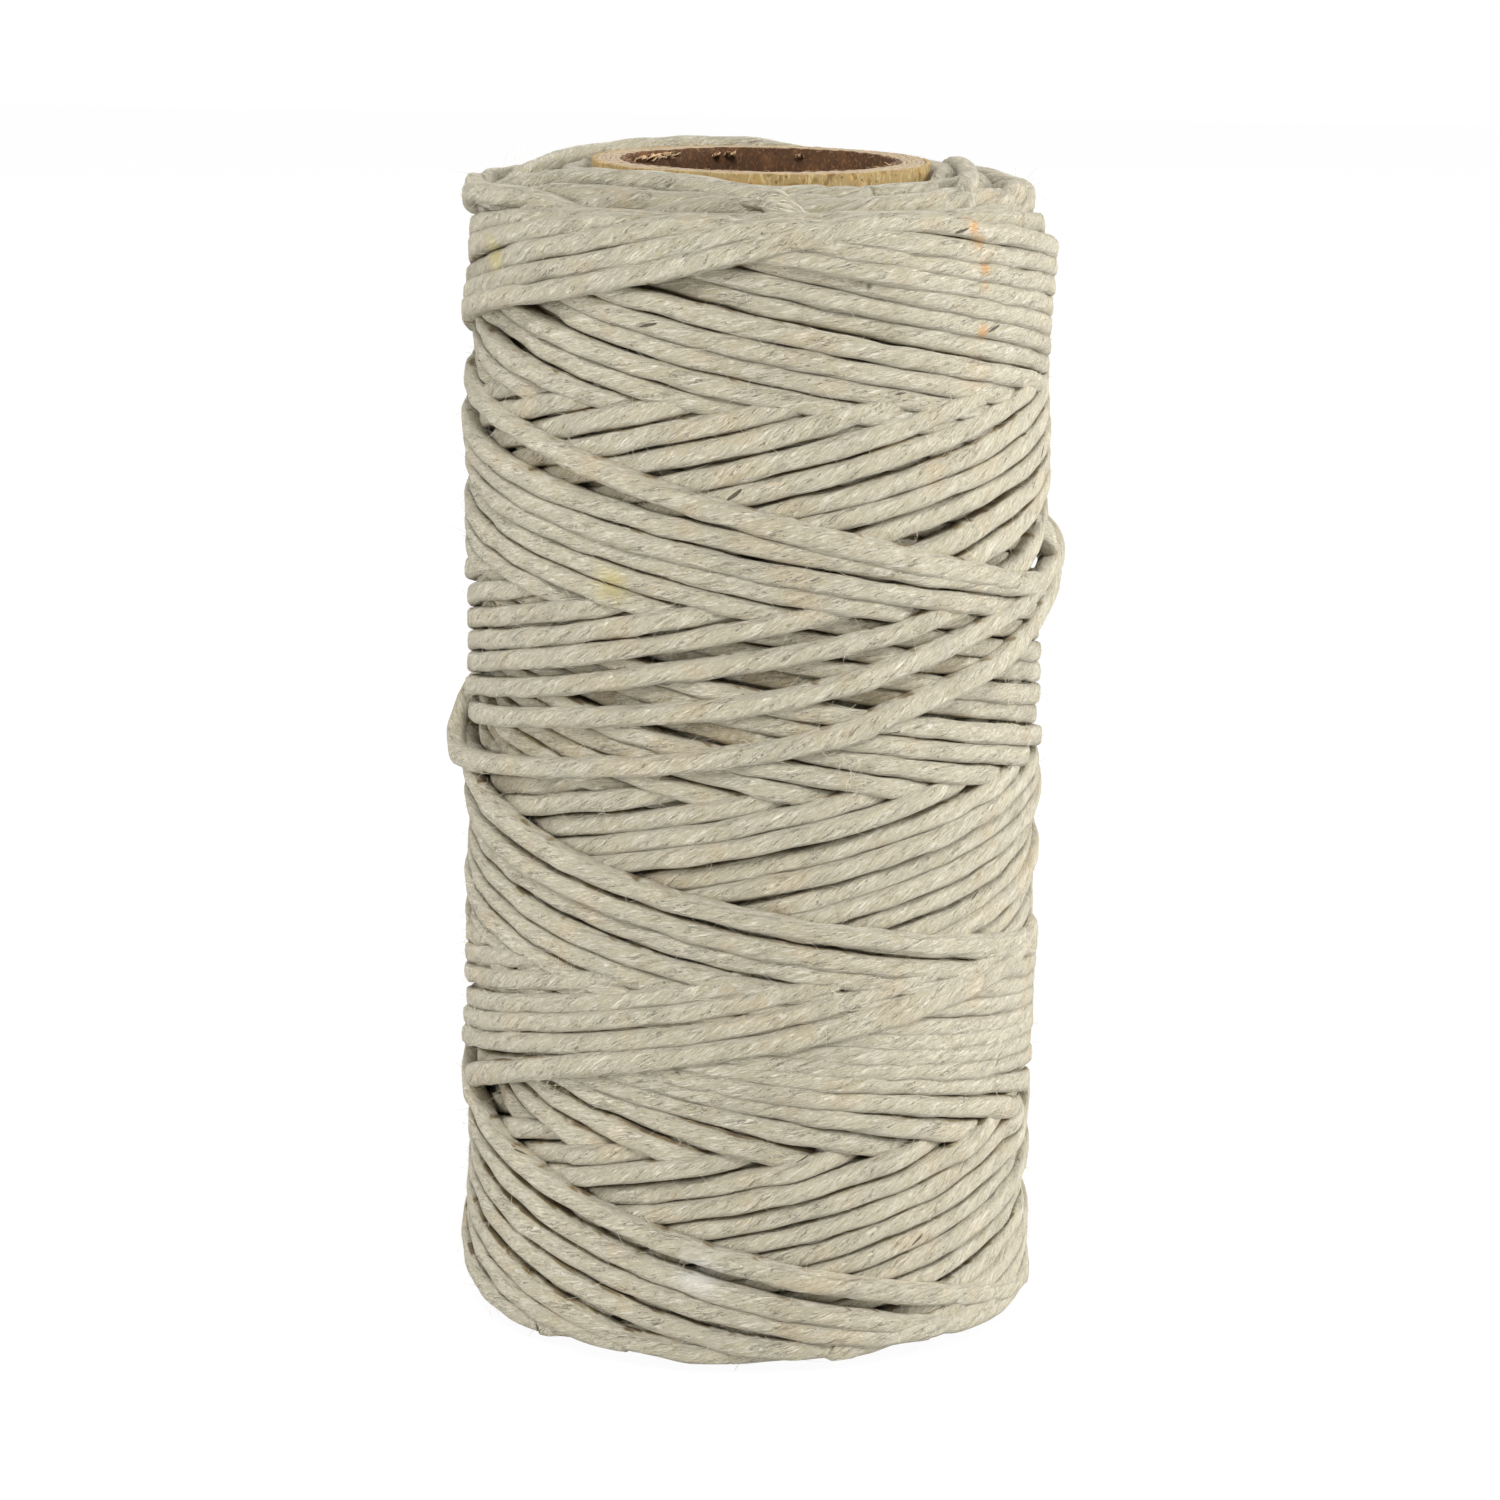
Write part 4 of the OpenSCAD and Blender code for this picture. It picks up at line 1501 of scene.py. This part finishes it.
def fibre_mesh(name, roots, starts, bends, lengths, thickness, material):
    """Many thin bent tubes: each leaves its root one way and bends another."""
    t = np.linspace(0, 1, FIBRE_POINTS)[None, :, None]
    lines = roots[:, None] + lengths[:, None, None] * (t * starts[:, None] + t * t * bends[:, None])
    lines[..., 2] = np.clip(lines[..., 2], 2 * thickness, TUBE_LENGTH - thickness)
    way = unit(np.gradient(lines, axis=1))
    side = unit(np.cross(way, [0.31, 0.52, 0.79]))
    other = np.cross(way, side)
    taper = thickness * (1 - 0.6 * t)
    rings = []
    for turn in np.arange(FIBRE_SIDES) / FIBRE_SIDES * math.tau:
        rings.append(lines + taper * (math.cos(turn) * side + math.sin(turn) * other))
    points = np.stack(rings, 2)
    count = len(roots)
    ring = (np.arange(count)[:, None] * FIBRE_POINTS + np.arange(FIBRE_POINTS - 1)) * FIBRE_SIDES
    a = ring.reshape(-1, 1) + np.arange(FIBRE_SIDES)
    b = ring.reshape(-1, 1) + (np.arange(FIBRE_SIDES) + 1) % FIBRE_SIDES
    quads = np.stack([a, b, b + FIBRE_SIDES, a + FIBRE_SIDES], -1).reshape(-1, 4)
    first = np.arange(count)[:, None] * FIBRE_POINTS * FIBRE_SIDES
    last = first + (FIBRE_POINTS - 1) * FIBRE_SIDES
    ends = np.concatenate([first + [2, 1, 0], last + [0, 1, 2]])
    return build_mesh(name, points.reshape(-1, 3), quads.tolist() + ends.tolist(), material)


def fuzz_material():
    material, tree, shader = new_material("cotton_fuzz", {"Roughness": 0.9, "Specular IOR Level": 0.15})
    colour = place_group(tree, mottling, {"Colour": linear(232, 226, 208), "Warm": linear(224, 208, 180),
                                          "Grey": linear(236, 234, 226), "Size mm": 4.0, "Amount": 0.7})
    tree.links.new(colour["Colour"], shader.inputs["Base Color"])
    return material


fuzz_cotton = fuzz_material()
print("loose fibres of", fuzz_cotton.name)

# %% [markdown]
# Most fibres run roughly along the string and rise from it a little. Each gets a random root, mostly on
# the outer half of a ring, a direction and a bend. Many are short and few are long, which is what random
# numbers from a gamma distribution are like.

# %% Fuzz on the string
FUZZ_COUNT = 7400
FUZZ_THICKNESS = 0.02
FUZZ_PIECES = 2
FUZZ_SPREAD = 0.9
FUZZ_RISE = (0.05, 0.8)
FUZZ_ALONG = 0.8
FUZZ_STRAY = 0.5
FUZZ_CURL = 0.45
FUZZ_LIFT = 0.1
FUZZ_LENGTHS = (3.0, 0.28)
ROOT_DEPTH = 0.03


def build_fuzz(number):
    chance = np.random.default_rng(10 + number)
    rings = visible_rings[chance.integers(0, len(visible_rings), FUZZ_COUNT)]
    middle = rings.mean(axis=1)
    outward = unit(middle * [1, 1, 0])
    turn = chance.normal(0, FUZZ_SPREAD, FUZZ_COUNT)
    side = np.searchsorted(np.radians(SECTION_TURNS), turn % math.tau) % SIDES
    roots = rings[np.arange(FUZZ_COUNT), side]
    leave = unit(roots - middle)
    along = unit(np.cross(outward, [0, 0, 1.0])) * np.sign(chance.normal(0, 1, FUZZ_COUNT))[:, None]
    starts = unit(leave * chance.uniform(*FUZZ_RISE, (FUZZ_COUNT, 1)) + along * FUZZ_ALONG
                  + chance.normal(0, FUZZ_STRAY, (FUZZ_COUNT, 3)))
    bends = chance.normal(0, FUZZ_CURL, (FUZZ_COUNT, 3)) + outward * FUZZ_LIFT
    lengths = chance.gamma(*FUZZ_LENGTHS, FUZZ_COUNT)
    made = fibre_mesh(f"string_fuzz_{number}", roots - leave * ROOT_DEPTH, starts, bends, lengths,
                      FUZZ_THICKNESS, fuzz_cotton)


for number in range(1, FUZZ_PIECES + 1):
    build_fuzz(number)
print(FUZZ_PIECES * FUZZ_COUNT, "fibres")

# %% [markdown]
# Here and there the fibres gather in a tuft of lint. Its roots are rings near one point of the winding.

# %% Lint
LINT_TUFTS = [(18.7, 57.2, 1.4), (-40.9, 27.2, 1.6), (-8.8, 9.7, 2.2), (16.0, 36.4, 1.2),
              (62.0, 62.5, 1.6), (-70.0, 41.0, 1.2), (140.0, 80.0, 1.4), (-150.0, 33.0, 1.8),
              (-120.0, 90.0, 1.3)]
TUFT_FIBRES = 70
TUFT_RADIUS = 27
TUFT_PLAY = 0.4
LINT_RISE = 0.25
LINT_STRAY = 0.6
LINT_CURL = 0.8
LINT_LENGTHS = (3.0, 0.4)
LINT_THICKNESS = FUZZ_THICKNESS * 0.9


def build_lint():
    chance = np.random.default_rng(17)
    middle = visible_rings.mean(axis=1)
    turn = np.degrees(np.arctan2(middle[:, 0], -middle[:, 1]))
    roots = []
    for place, height, spread in LINT_TUFTS:
        across = ((turn - place + 180) % 360 - 180) * math.tau * TUFT_RADIUS / 360
        off = np.hypot(across, middle[:, 2] - height)
        near = np.flatnonzero(off < max(spread, off.min() + TUFT_PLAY))
        roots.append(visible_rings[chance.choice(near, TUFT_FIBRES), 0])
    roots = np.concatenate(roots) + chance.normal(0, 0.25, (len(LINT_TUFTS) * TUFT_FIBRES, 3))
    outward = unit(roots * [1, 1, 0])
    starts = unit(outward * LINT_RISE + chance.normal(0, LINT_STRAY, roots.shape))
    bends = chance.normal(0, LINT_CURL, roots.shape)
    made = fibre_mesh("string_lint", roots, starts, bends, chance.gamma(*LINT_LENGTHS, len(roots)),
                      LINT_THICKNESS, fuzz_cotton)


build_lint()
print(len(LINT_TUFTS), "tufts of lint")

# %% [markdown]
# The cut edge of the tube is furred in the same way, with stiffer and shorter fibres of paper. Most grow
# from the two edges of the cut, a few from the middle of the wall.

# %% Paper fibres on the rim
RIM_FIBRES = 420
RIM_DEPTH = 0.15
RIM_LENGTHS = (2.5, 0.18)
WALL_MIDDLE = (BORE_RADIUS + TUBE_RADIUS) / 2
RIM_PLACES = [BORE_RADIUS + 0.05, TUBE_RADIUS - 0.08, WALL_MIDDLE]
RIM_CHANCES = [0.35, 0.5, 0.15]


def build_rim_fibres():
    chance = np.random.default_rng(23)
    angle = chance.uniform(0, math.tau, RIM_FIBRES)
    radius = chance.choice(RIM_PLACES, RIM_FIBRES, p=RIM_CHANCES) + chance.normal(0, 0.06, RIM_FIBRES)
    roots = round_axis(angle, radius, np.full(RIM_FIBRES, TUBE_LENGTH - RIM_DEPTH))
    out = unit(roots * [1, 1, 0]) * np.sign(radius - WALL_MIDDLE)[:, None]
    starts = unit(out * chance.uniform(0.2, 1.0, (RIM_FIBRES, 1)) + [0, 0, 0.4]
                  + chance.normal(0, 0.5, roots.shape))
    bends = chance.normal(0, 0.5, roots.shape)
    made = fibre_mesh("paper_rim_fibres", roots, starts, bends,
                      chance.gamma(*RIM_LENGTHS, RIM_FIBRES), FUZZ_THICKNESS, torn)


build_rim_fibres()
print(RIM_FIBRES, "paper fibres on the rim")

# %% [markdown]
# ## Floor, background and light
#
# The spool stands on a plain white sweep. A white background could be had by pouring light on it, but
# the same light would wash out the cotton. Light Path keeps the two apart: where the camera looks
# straight at the floor or at the world it sees white, and the object is lit by something dimmer. The
# floor still takes a share of its own shading, so the shadow at the foot stays.

# %% Floor and background
FLOOR_SIZE = 3.0
FLOOR_SHADING_SEEN = 0.08
FLOOR_GLOW = 1.04
WORLD_LIGHT = 0.385


def seen_directly(tree):
    """1 for rays that come from the camera, from gloss or through glass, and 0 for others."""
    path = put(tree, "ShaderNodeLightPath").outputs
    other = calc(tree, "MAXIMUM", path["Is Glossy Ray"], path["Is Transmission Ray"])
    return calc(tree, "MAXIMUM", path["Is Camera Ray"], other)


def make_floor():
    finish = {"Base Color": (0.8, 0.8, 0.8, 1), "Roughness": 0.9}
    material, tree, shader = new_material("white_floor", finish)
    white = put(tree, "ShaderNodeEmission", {"Color": (1, 1, 1, 1), "Strength": FLOOR_GLOW}).outputs[0]
    share = calc(tree, "MULTIPLY", seen_directly(tree), 1 - FLOOR_SHADING_SEEN)
    mixed = put(tree, "ShaderNodeMixShader", {0: share, 1: shader.outputs["BSDF"], 2: white})
    tree.links.new(mixed.outputs[0], tree.nodes["Material Output"].inputs["Surface"])
    half = FLOOR_SIZE / 2
    mesh = bpy.data.meshes.new("floor")
    corners = [(-half, -half, 0), (half, -half, 0), (half, half, 0), (-half, half, 0)]
    mesh.from_pydata(corners, [], [(0, 1, 2, 3)])
    mesh.materials.append(material)
    floor = bpy.data.objects.new("floor", mesh)
    bpy.context.scene.collection.objects.link(floor)


def make_world():
    world = bpy.data.worlds.new("studio")
    bpy.context.scene.world = world
    world.use_nodes = True
    tree = world.node_tree
    tree.nodes.clear()
    strength = ramp(tree, seen_directly(tree), 0.0, 1.0, WORLD_LIGHT, 1.0)
    background = put(tree, "ShaderNodeBackground", {"Color": (1, 1, 1, 1), "Strength": strength})
    put(tree, "ShaderNodeOutputWorld", {"Surface": background.outputs[0]})


make_floor()
make_world()
bpy.context.scene.view_settings.view_transform = "Standard"
print("world light", WORLD_LIGHT)

# %% [markdown]
# Four large soft lamps do the rest. The key hangs above and in front, so that each strand is lit from
# the top and drops a thin shadow on the one below. A lamp at the right brightens that side, a weak one
# at the left keeps the other side open, and one behind lights the back and the far side of the rim.

# %% Lamps
LAMPS = [
    ("key", (0.02, -0.65, 0.88), 0.40, 8.8),
    ("side", (0.92, 0.14, 0.25), 0.45, 9.5),
    ("fill", (-0.80, -0.40, 0.20), 0.60, 3.6),
    ("back", (-0.25, 0.95, 0.50), 0.60, 4.5),
]


def make_lamp(name, place, size, watts):
    """A round soft lamp that faces the middle of the spool."""
    data = bpy.data.lights.new(name, "AREA")
    data.shape = "DISK"
    data.size = size
    data.energy = watts
    lamp = bpy.data.objects.new(name, data)
    place = Vector(place)
    aim = Vector((0, 0, TUBE_LENGTH * MM / 2)) - place
    lamp.matrix_world = Matrix.Translation(place) @ aim.to_track_quat("-Z", "Y").to_matrix().to_4x4()
    bpy.context.scene.collection.objects.link(lamp)


for lamp in LAMPS:
    make_lamp(*lamp)
print(len(LAMPS), "lamps")
